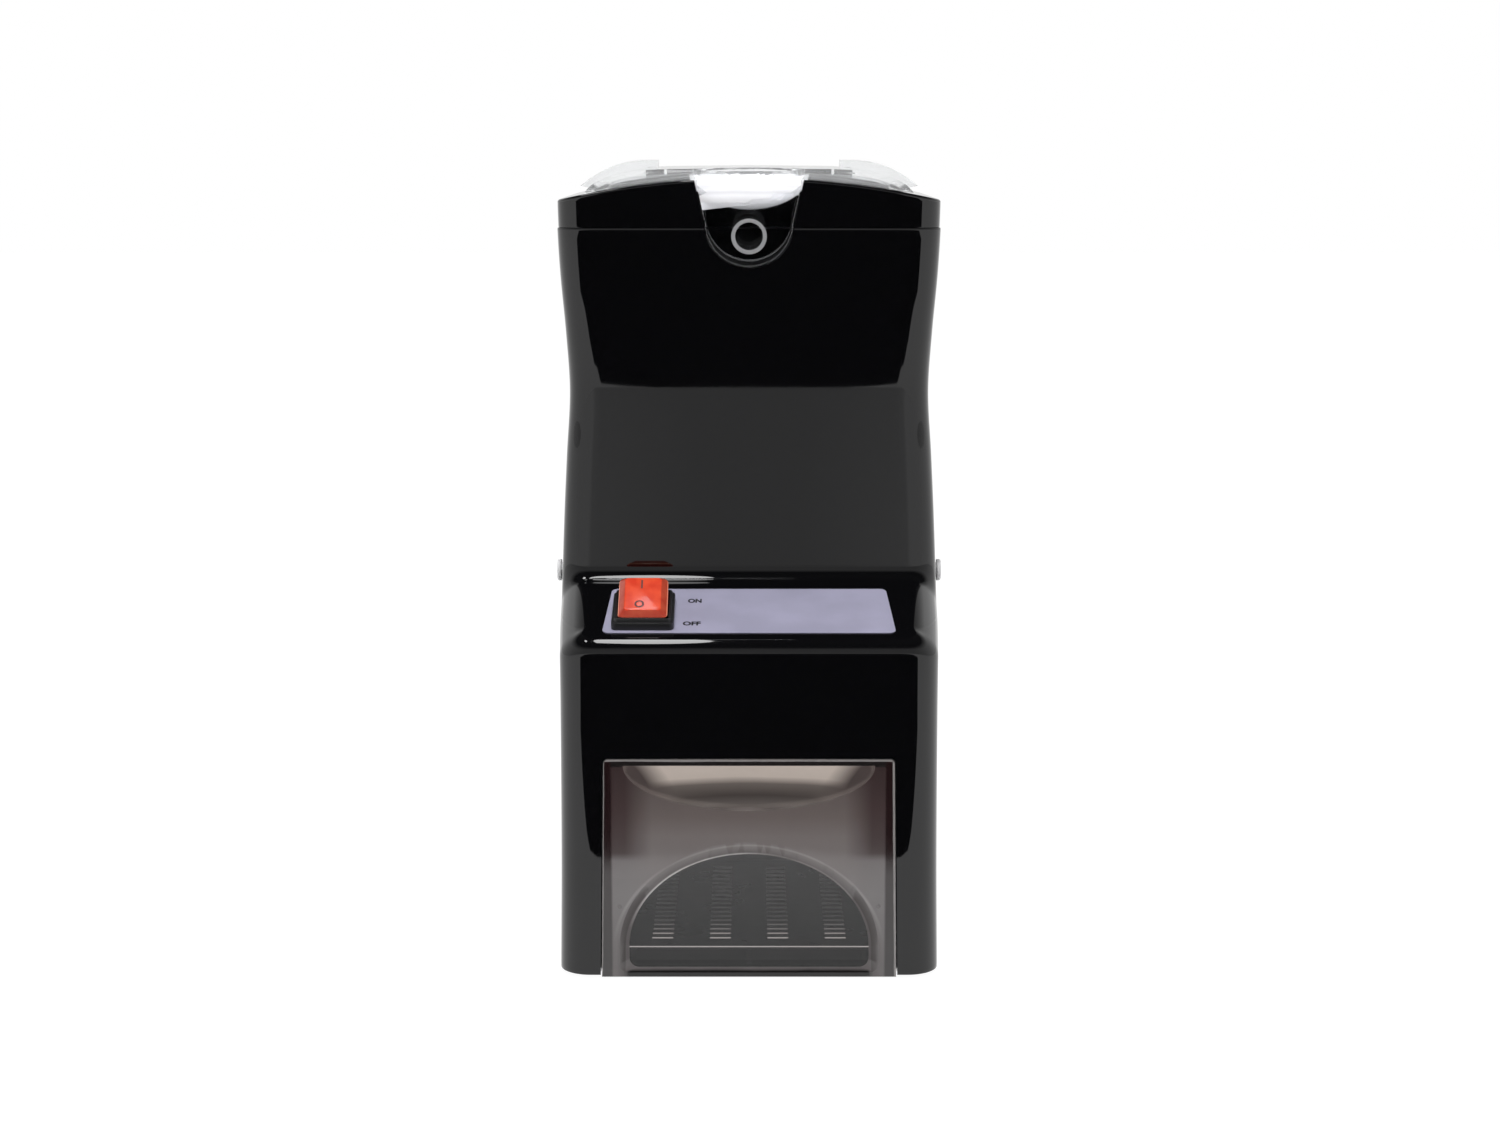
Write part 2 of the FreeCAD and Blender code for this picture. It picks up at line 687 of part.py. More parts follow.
def make_base_plate():
    outline = plan_section(BASE_Z, SIDE_PROFILE[0][1], WALL + SEAT, BACK_WALL + SEAT)
    plate = Part.Face(outline).extrude(vec(0, 0, BASE_T))
    front_cut = box(-BIN_HALF - 4.6, BIN_HALF + 4.6, FRONT - 5, FRONT + 8.5, 0, 20)
    tools = [front_cut]
    for x, y in feet_places():
        tools.append(screw_hole(x, y, 0, 20, vec(0, 0, 1)))
    return cut(plate, tools)


def make_feet():
    feet = []
    for x, y in feet_places():
        foot = rod_z(x, y, 0, BASE_Z, FOOT_R)
        rim = [e for e in foot.Edges if e.BoundBox.ZMax < 0.1]
        foot = foot.makeChamfer(0.6, rim)
        foot = foot.cut(rod_z(x, y, -1, SCREW_HEAD_T + 0.3, SCREW_HEAD_R + 0.5))
        feet.append(foot.cut(screw_hole(x, y, 0, 20, vec(0, 0, 1))))
    return Part.makeCompound(feet)


def make_base_screws():
    top = SCREW_HEAD_T + 0.3
    return Part.makeCompound([screw(x, y, top, 24.0, vec(0, 0, 1)) for x, y in feet_places()])


def make_side_plugs(outer):
    half = side_half(outer)
    plugs = []
    for side in (-1, 1):
        disc = rod_x(half, half + SIDE_PLUG_PROUD, SIDE_PLUG_Y, SIDE_PLUG_Z, SIDE_PLUG_R)
        edge = [e for e in disc.Edges if e.BoundBox.XMin > half + SIDE_PLUG_PROUD - 0.1]
        disc = disc.makeFillet(1.0, edge)
        stem = rod_x(half - WALL - 3.0, half + 0.5, SIDE_PLUG_Y, SIDE_PLUG_Z, SIDE_PLUG_STEM_R - PRESS)
        plug = fuse([disc, stem])
        plugs.append(plug if side > 0 else plug.mirror(vec(0, 0, 0), vec(1, 0, 0)))
    return Part.makeCompound(plugs)


def make_rear_cover():
    cover = box(-COVER_HALF, COVER_HALF, BACK - COVER_T, BACK, COVER_LOW, COVER_HIGH)
    corners = [e for e in cover.Edges if e.BoundBox.YLength > 1.0]
    cover = cover.makeFillet(6.0, corners)
    tools = []
    middle_z = VENT_MIDDLE_Z
    for column in (-1, 1):
        for row in range(VENT_ROWS):
            z = middle_z + (row - (VENT_ROWS - 1) / 2) * VENT_PITCH
            x = column * (VENT_HALF + 6.0)
            tools.append(box(x - VENT_HALF, x + VENT_HALF, BACK - 10, BACK + 5,
                             z - VENT_HEIGHT / 2, z + VENT_HEIGHT / 2))
    for x, z in cover_screw_places():
        tools.append(screw_hole(x, BACK + 1, z, 10, vec(0, -1, 0)))
        tools.append(rod_y(x, BACK - COVER_SINK, BACK + 1, z, SCREW_HEAD_R + 0.2))
    tools.append(inlet_box((INLET_BODY_HALF[0] + PRESS, INLET_BODY_HALF[1] + PRESS), BACK - 10, BACK + 5))
    return cut(cover, tools)


def make_rear_screws():
    screws = []
    for x, z in cover_screw_places():
        shank = rod_y(x, BACK - BACK_WALL - 3.0, BACK - COVER_SINK, z, SCREW_R)
        head = rod_y(x, BACK - COVER_SINK, BACK - 0.2, z, SCREW_HEAD_R)
        cross = box(x - 2.2, x + 2.2, BACK - 1.0, BACK, z - 0.5, z + 0.5)
        screws.append(fuse([shank, head]).cut(cross))
    return Part.makeCompound(screws)


def make_inlet():
    behind = BACK - COVER_T
    flange = inlet_box(INLET_FLANGE_HALF, behind - INLET_FLANGE_T, behind)
    corners = [e for e in flange.Edges if e.BoundBox.YLength > 1.0]
    flange = flange.makeFillet(2.5, corners)
    body = inlet_box(INLET_BODY_HALF, BACK - INLET_DEPTH, BACK)
    cavity = inlet_box(INLET_CAVITY_HALF, BACK - INLET_CAVITY, BACK + 1.0)
    upper = [e for e in cavity.Edges if e.BoundBox.YLength > 1.0 and e.BoundBox.ZMin > INLET_Z]
    cavity = cavity.makeChamfer(4.0, upper)
    return fuse([flange, body]).cut(cavity).cut(inlet_pins(PRESS))


def inlet_pins(grow):
    pins = []
    back = BACK - INLET_CAVITY + INLET_PIN_STAND
    front = BACK - INLET_DEPTH - INLET_PIN_TAIL
    half_x = 1.0 + grow
    half_z = 2.0 + grow
    for x, z in ((-7.0, -2.0), (0.0, 2.0), (7.0, -2.0)):
        x += INLET_X
        z += INLET_Z
        pins.append(box(x - half_x, x + half_x, front, back, z - half_z, z + half_z))
    return Part.makeCompound(pins)


# ---------------------------------------------------------------------------
# Lid
# ---------------------------------------------------------------------------

def dome_edges(inset):
    points = []
    for x, rise in reversed(LID_PROFILE):
        points.append(vec(-x * (LID_HALF - inset) / LID_HALF, 0, CROWN_Z + rise - inset))
    points += [mirror(p) for p in reversed(points[:-1])]
    curve = Part.BSplineCurve()
    curve.interpolate(points)
    right = vec(points[-1].x, 0, SEAM_Z - 20)
    left = mirror(right)
    return [curve.toShape(), line(points[-1], right), line(right, left), line(left, points[0])]


def dome(inset):
    body = prism(dome_edges(inset), vec(0, BACK + 50, 0))
    body.translate(vec(0, FRONT + 30, 0))
    outline = round_box(LID_HALF - inset, LID_FRONT + inset, LID_BACK - inset,
                        SEAM_Z - 30, CROWN_Z + 20, LID_CORNER_R - inset)
    return body.common(outline)


def make_wing():
    outer = [vec(x, 0, CROWN_Z + rise) for x, rise in WING_OUTER]
    inner = [vec(x, 0, CROWN_Z + rise) for x, rise in WING_UNDER]
    curve = Part.BSplineCurve()
    curve.interpolate(outer)
    under = Part.BSplineCurve()
    under.interpolate(inner)
    edges = [curve.toShape(), line(outer[-1], inner[-1]), under.toShape(), line(inner[0], outer[0])]
    wing = prism(edges, vec(0, LID_BACK - WING_FRONT, 0))
    wing.translate(vec(0, WING_FRONT, 0))
    return wing


def make_ear():
    barrel = rod_x(EAR_INNER, EAR_OUTER, HINGE_Y, HINGE_Z, EAR_R)
    web = box(EAR_INNER, EAR_OUTER, LID_BACK - 6.0, HINGE_Y, HINGE_Z, HINGE_Z + EAR_R)
    return fuse([barrel, web])


def make_lid():
    above = slab(SEAM_Z - 30, CROWN_Z + 20).cut(crown(SEAT))
    shell = dome(0).cut(dome(LID_T)).common(above)
    wing = make_wing()
    ear = make_ear()
    flip = [piece.mirror(vec(0, 0, 0), vec(1, 0, 0)) for piece in (wing, ear)]
    tongue = tongue_outline(0, WALL_Y - 30.0, WALL_Y + 25.0)
    tongue = tongue.common(front_band(-TONGUE_PROUD, TONGUE_T - TONGUE_PROUD))
    brim_z = BOWL_Z + BOWL_BRIM
    bridge_half = TONGUE_TOP_HALF - 1.0
    bridge = box(-bridge_half, bridge_half, WALL_Y - 12.0, LID_FRONT + 3.0, BOWL_Z - 6.0, brim_z)
    bowl = spheroid(0, BOWL_Y, BOWL_Z, BOWL_HALF + BOWL_T, BOWL_R + BOWL_T)
    bowl = bowl.common(box(-40, 40, WALL_Y - 10.5, BOWL_Y + 40, SEAM_Z, brim_z))
    lid = fuse([shell, wing, ear, tongue, bridge, bowl] + flip)
    pin_hole = rod_x(-EAR_OUTER - 1, EAR_OUTER + 1, HINGE_Y, HINGE_Z, HINGE_PIN_R + RUN)
    scoop = spheroid(0, BOWL_Y, BOWL_Z, BOWL_HALF, BOWL_R)
    lid = cut(lid, [pin_hole, scoop])
    ring_y = WALL_Y - 20.0
    ring_at = vec(0, ring_y, TONGUE_RING_Z)
    ring = Part.makeCone(TONGUE_RING_R, TONGUE_RING_R + 2.1, 40.0, ring_at, vec(0, 1, 0))
    ring = ring.common(front_band(-TONGUE_PROUD - TONGUE_RING_PROUD, 0.5))
    bore = rod_y(0, ring_y - 5, ring_y + 60, TONGUE_RING_Z, TONGUE_RING_BORE_R)
    ring = ring.cut(bore.common(front_air(0.4)))
    return fuse([lid, ring])


def make_hinge_pin():
    return rod_x(-EAR_OUTER - 1.5, EAR_OUTER + 1.5, HINGE_Y, HINGE_Z, HINGE_PIN_R)


def make_lid_switch():
    body = box(PLUNGER_X - 5.2, PLUNGER_X + 4.0, PLUNGER_Y - 10, PLUNGER_Y + 10,
               LEDGE_Z - LID_SWITCH_H, LEDGE_Z)
    return body.cut(rod_z(PLUNGER_X, PLUNGER_Y, LEDGE_Z - 12, LEDGE_Z + 1, PLUNGER_R + RUN))


def make_plunger():
    crown_z = CROWN_Z - CROWN_R + math.sqrt(CROWN_R ** 2 - PLUNGER_X ** 2)
    rod = rod_z(PLUNGER_X, PLUNGER_Y, LEDGE_Z - 8, crown_z, PLUNGER_R)
    top = [e for e in rod.Edges if e.BoundBox.ZMin > crown_z - 0.1]
    return rod.makeFillet(0.8, top)


# ---------------------------------------------------------------------------
# Ice path: hopper, crushing chamber, comb, rotor and chute
# ---------------------------------------------------------------------------

def hopper_collar(grow, z0, z1):
    """Upright block with the outline of the hopper's collar, grown all round."""
    reach = HOPPER_T + grow
    return round_box(HOPPER_HALF + reach, HOPPER_FRONT - reach, HOPPER_BACK + reach, z0, z1,
                     HOPPER_CORNER_R + grow)


def hopper_solid(inset, rise):
    top = hopper_collar(-inset, HOPPER_NECK_Z, CROWN_Z + 20)
    wide = [item for item in top.Faces if item.BoundBox.ZMax < HOPPER_NECK_Z + 1.0][0].OuterWire
    radius = SPOUT_R - inset
    narrow = round_wire(SPOUT_HALF - inset, SPOUT_FRONT + inset, SPOUT_BACK - inset, CHAMBER_HIGH, radius)
    cone = Part.makeLoft([narrow, wide], True, True)
    spout = round_box(SPOUT_HALF - inset, SPOUT_FRONT + inset, SPOUT_BACK - inset,
                      CHAMBER_HIGH - SPOUT_DIP - rise, CHAMBER_HIGH, radius)
    return fuse([top, cone, spout])


def make_hopper():
    rim = hopper_collar(HOPPER_RIM, SEAM_Z, CROWN_Z + 20)
    rim = rim.common(crown(HOPPER_RIM_T)).cut(crown(0))
    funnel = hopper_solid(0, 0).common(slab(0, SEAM_Z)).fuse(
        hopper_solid(0, 0).common(slab(SEAM_Z, CROWN_Z + 20)).common(crown(HOPPER_RIM_T)))
    return fuse([funnel, rim]).cut(hopper_solid(HOPPER_T, 5.0))


def chamber_screw_places():
    """Two under the spout's dip, two low, the rear one clear of the motor."""
    high = CHAMBER_HIGH - SPOUT_DIP - CHAMBER_BOSS_R - SPOUT_GAP
    front = CHAMBER_FRONT + CHAMBER_BOSS_R
    back = CHAMBER_BACK - CHAMBER_BOSS_R
    return [(front, CHAMBER_LOW + 10.0), (front, high), (back, high), (ROTOR_Y + 15.0, CHAMBER_LOW + 6.0)]


def make_chamber():
    outer = box(-CHAMBER_HALF, CHAMBER_HALF, CHAMBER_FRONT, CHAMBER_BACK, CHAMBER_LOW, CHAMBER_HIGH)
    inner = box(-CHAMBER_HALF + CHAMBER_T, CHAMBER_HALF - CHAMBER_T, CHAMBER_FRONT + CHAMBER_T,
                CHAMBER_BACK - CHAMBER_T, CHAMBER_LOW - 1, CHAMBER_HIGH + 1)
    shell = outer.cut(inner)
    tools = [rod_x(-60, 60, ROTOR_Y, ROTOR_Z, BUSH_R + 0.5)]
    bosses = []
    for y, z in chamber_screw_places():
        for x in (-CHAMBER_HALF, CHAMBER_HALF - CHAMBER_BOSS_LENGTH):
            bosses.append(rod_x(x, x + CHAMBER_BOSS_LENGTH, y, z, CHAMBER_BOSS_R).common(outer))
        tools.append(rod_x(-60, -CHAMBER_HALF + 7.0, y, z, SCREW_R + RUN))
        tools.append(rod_x(CHAMBER_HALF - 7.0, 60, y, z, SCREW_R + RUN))
    return cut(fuse([shell] + bosses), tools)


def make_comb():
    inner_y = CHAMBER_FRONT + CHAMBER_T
    reach = ROTOR_Y - SPACER_R - 2.0
    low = ROTOR_Z - COMB_HEIGHT / 2
    half = CHAMBER_HALF - CHAMBER_T - SEAT
    bar = box(-half, half, inner_y, inner_y + COMB_BAR, low - 6.0, low + COMB_HEIGHT + 6.0)
    bar = bar.cut(rod_x(-half, half, ROTOR_Y, ROTOR_Z, BLADE_R + 1.0))
    fingers = []
    for index in range(BLADES - 1):
        x = (index - (BLADES - 2) / 2) * BLADE_PITCH - COMB_T / 2
        points = [vec(x, inner_y, low - 3.0), vec(x, reach, low + 1.0)]
        points += [vec(x, reach, low + COMB_HEIGHT - 1.0), vec(x, inner_y, low + COMB_HEIGHT + 3.0)]
        fingers.append(polygon_prism(points, vec(COMB_T, 0, 0)))
    return fuse([bar] + fingers)


def blade_outline(turn):
    """Three hooked teeth on a round hub, steep side leading, as edges in the plane x = 0."""
    def at(radius, degrees):
        angle = math.radians(turn - degrees)
        return vec(0, radius * math.cos(angle), radius * math.sin(angle))
    edges = []
    for tooth in range(3):
        base = tooth * 120.0
        root = at(BLADE_HUB_R, base)
        tip = at(BLADE_R, base + 30.0)
        back = at(BLADE_R, base + 48.0)
        heel = at(BLADE_HUB_R, base + 84.0)
        edges.append(arc(root, at(BLADE_R * 0.66, base + 6.0), tip))
        edges.append(arc(tip, at(BLADE_R, base + 39.0), back))
        edges.append(arc(back, at(BLADE_R * 0.72, base + 62.0), heel))
        edges.append(arc(heel, at(BLADE_HUB_R, base + 102.0), at(BLADE_HUB_R, base + 120.0)))
    return edges


def blade_x(index):
    return (index - (BLADES - 1) / 2) * BLADE_PITCH


def make_blade(index):
    blade = prism(blade_outline(20.0 * index), vec(BLADE_T, 0, 0))
    blade.translate(vec(blade_x(index) - BLADE_T / 2, ROTOR_Y, ROTOR_Z))
    return blade.cut(rod_x(-60, 60, ROTOR_Y, ROTOR_Z, SHAFT_R + PRESS))


def make_spacers():
    spacers = []
    for index in range(BLADES - 1):
        x0 = blade_x(index) + BLADE_T / 2
        x1 = blade_x(index + 1) - BLADE_T / 2
        tube = rod_x(x0, x1, ROTOR_Y, ROTOR_Z, SPACER_R)
        spacers.append(tube.cut(rod_x(x0 - 1, x1 + 1, ROTOR_Y, ROTOR_Z, SHAFT_R + PRESS)))
    return Part.makeCompound(spacers)


def make_bush(side):
    inside = CHAMBER_HALF - CHAMBER_T + 0.5
    outside = CHAMBER_HALF + PLATE_T
    tube = rod_x(inside, outside, ROTOR_Y, ROTOR_Z, BUSH_R)
    flange = rod_x(outside, outside + BUSH_FLANGE_T, ROTOR_Y, ROTOR_Z, BUSH_FLANGE_R)
    bush = fuse([tube, flange]).cut(rod_x(0, 100, ROTOR_Y, ROTOR_Z, SHAFT_R + RUN))
    if side < 0:
        bush = bush.mirror(vec(0, 0, 0), vec(1, 0, 0))
    return bush


def make_shaft():
    left = -gear_planes()["slow"][0] - 1.0
    right = CHAMBER_HALF + PLATE_T + BUSH_FLANGE_T + 7.0
    shaft = rod_x(left, right, ROTOR_Y, ROTOR_Z, SHAFT_R)
    ends = [e for e in shaft.Edges if e.BoundBox.XLength < 0.1]
    return shaft.makeChamfer(0.8, ends)


def make_collar():
    x0 = CHAMBER_HALF + PLATE_T + BUSH_FLANGE_T + SEAT
    ring = rod_x(x0, x0 + 5.0, ROTOR_Y, ROTOR_Z, SHAFT_R + 3.0)
    return ring.cut(rod_x(x0 - 1, x0 + 6, ROTOR_Y, ROTOR_Z, SHAFT_R + PRESS))


def chute_hole(grow):
    """Half width, front and back of the chute, grown all round."""
    half = CHAMBER_HALF - CHAMBER_T + grow
    return half, CHAMBER_FRONT + 1.0 - grow, CHAMBER_BACK - 1.0 + grow


def make_chute():
    half, front, back = chute_hole(0)
    tube = box(-half, half, front, back, CHUTE_LOW, CHAMBER_LOW - SEAT)
    flange = box(-half - 2.0, half + 2.0, front - CHUTE_FLANGE, back + CHUTE_FLANGE,
                 DECK_Z + DECK_T, DECK_Z + DECK_T + 2.0)
    inner = box(-half + CHUTE_T, half - CHUTE_T, front + CHUTE_T, back - CHUTE_T,
                CHUTE_LOW - 1, CHAMBER_LOW + 1)
    return fuse([tube, flange]).cut(inner)


# ---------------------------------------------------------------------------
# Frame plates, gears and motor
# ---------------------------------------------------------------------------

def gear_planes():
    """Distances from the middle: outer and inner face of each gear plane."""
    slow_in = CHAMBER_HALF + PLATE_T + GEAR_SPACE
    slow_out = slow_in + SLOW_WIDTH
    fast_in = slow_out + GEAR_SPACE
    return {"slow": (slow_out, slow_in), "fast": (fast_in + FAST_WIDTH, fast_in)}


def slow_distance():
    return SLOW_MODULE * (ROTOR_TEETH + IDLER_SMALL_TEETH) / 2


def fast_distance():
    return FAST_MODULE * (IDLER_LARGE_TEETH + MOTOR_TEETH) / 2


def idler_place():
    """Where the idler axle has to be for both pairs of gears to mesh."""
    dy = MOTOR_Y - ROTOR_Y
    dz = MOTOR_Z - ROTOR_Z
    span = math.hypot(dy, dz)
    slow = slow_distance()
    fast = fast_distance()
    cosine = (slow ** 2 + span ** 2 - fast ** 2) / (2 * slow * span)
    angle = math.atan2(dz, dy) + math.acos(cosine)
    return ROTOR_Y + slow * math.cos(angle), ROTOR_Z + slow * math.sin(angle)


def involute(angle):
    return math.tan(angle) - angle


def gear_outline(teeth, module, tooth_at):
    """Involute gear as a closed polygon round the X axis; a tooth points at tooth_at."""
    pressure = math.radians(PRESSURE_ANGLE)
    pitch_r = module * teeth / 2
    base_r = pitch_r * math.cos(pressure)
    root_r = pitch_r - 1.2 * module
    tip_r = pitch_r + 0.95 * module
    half_tooth = math.pi / (2 * teeth) - BACKLASH / (2 * pitch_r) + involute(pressure)
    start_r = max(root_r, base_r)
    middle_r = (start_r + tip_r) / 2
    flank = []
    for radius in (start_r, middle_r, tip_r):
        flank.append((radius, half_tooth - involute(math.acos(min(1.0, base_r / radius)))))
    if root_r < base_r:
        flank.insert(0, (root_r, flank[0][1]))
    points = []
    for tooth in range(teeth):
        center = tooth_at + 2 * math.pi * tooth / teeth
        for radius, angle in flank:
            points.append(vec(0, radius * math.cos(center - angle), radius * math.sin(center - angle)))
        for radius, angle in reversed(flank):
            points.append(vec(0, radius * math.cos(center + angle), radius * math.sin(center + angle)))
    return points


def gear(teeth, module, tooth_at, y, z, plane):
    outside, inside = plane
    body = polygon_prism(gear_outline(teeth, module, tooth_at), vec(outside - inside, 0, 0))
    body.translate(vec(-outside, y, z))
    return body


def make_gears():
    idler_y, idler_z = idler_place()
    planes = gear_planes()
    to_idler = math.atan2(idler_z - ROTOR_Z, idler_y - ROTOR_Y)
    to_motor = math.atan2(MOTOR_Z - idler_z, MOTOR_Y - idler_y)
    rotor = gear(ROTOR_TEETH, SLOW_MODULE, to_idler, ROTOR_Y, ROTOR_Z, planes["slow"])
    small_gap = to_idler + math.pi + math.pi / IDLER_SMALL_TEETH
    small = gear(IDLER_SMALL_TEETH, SLOW_MODULE, small_gap, idler_y, idler_z, planes["slow"])
    large = gear(IDLER_LARGE_TEETH, FAST_MODULE, to_motor, idler_y, idler_z, planes["fast"])
    motor_gap = to_motor + math.pi + math.pi / MOTOR_TEETH
    pinion = gear(MOTOR_TEETH, FAST_MODULE, motor_gap, MOTOR_Y, MOTOR_Z, planes["fast"])
    hub_r = IDLER_SMALL_TEETH * SLOW_MODULE / 2 - 3.0
    hub = rod_x(-planes["fast"][1], -planes["slow"][0], idler_y, idler_z, hub_r)
    holes = [rod_x(-100, 0, idler_y, idler_z, IDLER_AXLE_R + RUN)]
    for index in range(5):
        angle = to_motor + 2 * math.pi * (index + 0.5) / 5
        ring = FAST_MODULE * IDLER_LARGE_TEETH / 2 * 0.62
        place = (idler_y + ring * math.cos(angle), idler_z + ring * math.sin(angle))
        holes.append(rod_x(-planes["fast"][0] - 1, -planes["fast"][1] + 1, place[0], place[1], 8.0))
    idler = cut(fuse([small, hub, large]), holes)
    rotor_holes = [rod_x(-100, 0, ROTOR_Y, ROTOR_Z, SHAFT_R + PRESS)]
    for index in range(4):
        angle = to_idler + 2 * math.pi * (index + 0.5) / 4
        ring = SLOW_MODULE * ROTOR_TEETH / 2 * 0.6
        place = (ROTOR_Y + ring * math.cos(angle), ROTOR_Z + ring * math.sin(angle))
        rotor_holes.append(rod_x(-100, 0, place[0], place[1], 6.5))
    rotor = cut(rotor, rotor_holes)
    pinion = pinion.cut(rod_x(-100, 0, MOTOR_Y, MOTOR_Z, MOTOR_SHAFT_R + PRESS))
    return rotor, idler, pinion


def make_idler_axle():
    y, z = idler_place()
    outside = gear_planes()["fast"][0]
    axle = rod_x(-outside - 3.0, -CHAMBER_HALF, y, z, IDLER_AXLE_R)
    head = rod_x(-CHAMBER_HALF, -CHAMBER_HALF + 3.0, y, z, IDLER_AXLE_R + 1.5)
    return fuse([axle, head])


def make_idler_clip():
    y, z = idler_place()
    x0 = -gear_planes()["fast"][0] - 1.8
    ring = rod_x(x0, x0 + 1.2, y, z, IDLER_AXLE_R + 2.5)
    gap = box(x0 - 1, x0 + 3, y, y + 10, z - 2.5, z + 2.5)
    return ring.cut(rod_x(x0 - 1, x0 + 3, y, z, IDLER_AXLE_R + PRESS)).cut(gap)


def frame_screw_places(side):
    x = side * (CHAMBER_HALF + PLATE_T + FRAME_FLANGE / 2)
    return [(x, CHAMBER_FRONT + 6.0), (x, CHAMBER_BACK - 6.0)]


def motor_screw_places():
    places = []
    for index in range(4):
        angle = math.radians(45.0 + 90.0 * index)
        reach = MOTOR_SCREW_CIRCLE / 2
        places.append((MOTOR_Y + reach * math.cos(angle), MOTOR_Z + reach * math.sin(angle)))
    return places


def make_plate(side):
    x0 = CHAMBER_HALF
    x1 = CHAMBER_HALF + PLATE_T
    front = CHAMBER_FRONT - 4.0
    back = CHAMBER_BACK + 4.0
    top = CHAMBER_HIGH + 2.0
    if side < 0:
        rear = MOTOR_Y + MOTOR_R + 4.0
        points = [vec(-x1, front, FRAME_LOW), vec(-x1, rear, FRAME_LOW), vec(-x1, rear, MOTOR_Z + 6.0)]
        points.append(vec(-x1, MOTOR_Y + MOTOR_R / 2 + 1.5, MOTOR_Z + MOTOR_R + 3.0))
        points.append(vec(-x1, back + 14.0, ROTOR_Z + 7.0))
        points += [vec(-x1, back, top), vec(-x1, front, top)]
    else:
        points = [vec(x0, front, FRAME_LOW), vec(x0, back, FRAME_LOW)]
        points += [vec(x0, back, top), vec(x0, front, top)]
    plate = polygon_prism(points, vec(PLATE_T, 0, 0))
    corners = [e for e in plate.Edges if e.BoundBox.XLength > 1.0 and e.BoundBox.ZMin > FRAME_LOW + 5]
    plate = plate.makeFillet(6.0, corners)
    flange_x = (x1, x1 + FRAME_FLANGE) if side > 0 else (-x1 - FRAME_FLANGE, -x1)
    flange = box(flange_x[0], flange_x[1], front, back, FRAME_LOW, FRAME_LOW + PLATE_T)
    tools = [rod_x(-60, 60, ROTOR_Y, ROTOR_Z, BUSH_R + PRESS)]
    for y, z in chamber_screw_places():
        tools.append(rod_x(-60, 60, y, z, SCREW_R + RUN))
    for x, y in frame_screw_places(side):
        tools.append(screw_hole(x, y, DECK_Z - 5, 30, vec(0, 0, 1)))
    if side < 0:
        y, z = idler_place()
        tools.append(rod_x(-60, 0, y, z, IDLER_AXLE_R + PRESS))
        tools.append(rod_x(-60, 0, MOTOR_Y, MOTOR_Z, MOTOR_SHAFT_R + 4.0))
        for y, z in motor_screw_places():
            tools.append(rod_x(-60, 0, y, z, SCREW_R + RUN))
    return cut(fuse([plate, flange]), tools)


def make_chamber_screws():
    screws = []
    outside = CHAMBER_HALF + PLATE_T
    for y, z in chamber_screw_places():
        screws.append(screw(-outside, y, z, PLATE_T + 5.0, vec(1, 0, 0)))
        screws.append(screw(outside, y, z, PLATE_T + 5.0, vec(-1, 0, 0)))
    return Part.makeCompound(screws)


def make_frame_screws():
    screws = []
    for side in (-1, 1):
        for x, y in frame_screw_places(side):
            screws.append(screw(x, y, FRAME_LOW + PLATE_T, PLATE_T + DECK_T + 2.0, vec(0, 0, -1)))
    return Part.makeCompound(screws)


def make_motor_screws():
    outside = CHAMBER_HALF + PLATE_T
    screws = []
    for y, z in motor_screw_places():
        screws.append(screw(-outside, y, z, PLATE_T + 6.0, vec(1, 0, 0)))
    return Part.makeCompound(screws)


def make_motor_body():
    left = -CHAMBER_HALF
    drum = rod_x(left, left + MOTOR_LENGTH, MOTOR_Y, MOTOR_Z, MOTOR_R)
    tools = [rod_x(left - 1, left + MOTOR_LENGTH + 1, MOTOR_Y, MOTOR_Z, MOTOR_SHAFT_R + RUN)]
    for y, z in motor_screw_places():
        tools.append(rod_x(left - 1, left + 8.0, y, z, SCREW_R + RUN))
    groove = rod_x(left + 12.0, left + MOTOR_LENGTH - 12.0, MOTOR_Y, MOTOR_Z, MOTOR_R + 1.0)
    tools.append(groove.cut(rod_x(left, left + MOTOR_LENGTH, MOTOR_Y, MOTOR_Z, MOTOR_R - 1.5)))
    return cut(drum, tools)


def make_end_bell():
    left = -CHAMBER_HALF + MOTOR_LENGTH
    bell = rod_x(left, left + BELL_T, MOTOR_Y, MOTOR_Z, MOTOR_R - 2.0)
    rim = [e for e in bell.Edges if e.BoundBox.XMin > left + BELL_T - 0.1]
    bell = bell.makeFillet(4.0, rim)
    return bell.cut(rod_x(left - 1, left + BELL_T + 1, MOTOR_Y, MOTOR_Z, MOTOR_SHAFT_R + RUN))


def fan_left():
    return -CHAMBER_HALF + MOTOR_LENGTH + BELL_T + 3.0


def make_motor_shaft():
    return rod_x(-gear_planes()["fast"][0] - 1.0, fan_left() + 9.0, MOTOR_Y, MOTOR_Z, MOTOR_SHAFT_R)


def make_fan():
    x0 = fan_left()
    pieces = [rod_x(x0, x0 + 8.0, MOTOR_Y, MOTOR_Z, 9.0)]
    pieces.append(rod_x(x0, x0 + 1.6, MOTOR_Y, MOTOR_Z, FAN_R))
    for index in range(FAN_BLADES):
        vane = box(x0, x0 + 7.0, 7.0, FAN_R - 1.0, -0.8, 0.8)
        vane.rotate(vec(0, 0, 0), vec(1, 0, 0), 360.0 * index / FAN_BLADES)
        vane.translate(vec(0, MOTOR_Y, MOTOR_Z))
        pieces.append(vane)
    return fuse(pieces).cut(rod_x(x0 - 1, x0 + 10, MOTOR_Y, MOTOR_Z, MOTOR_SHAFT_R + PRESS))


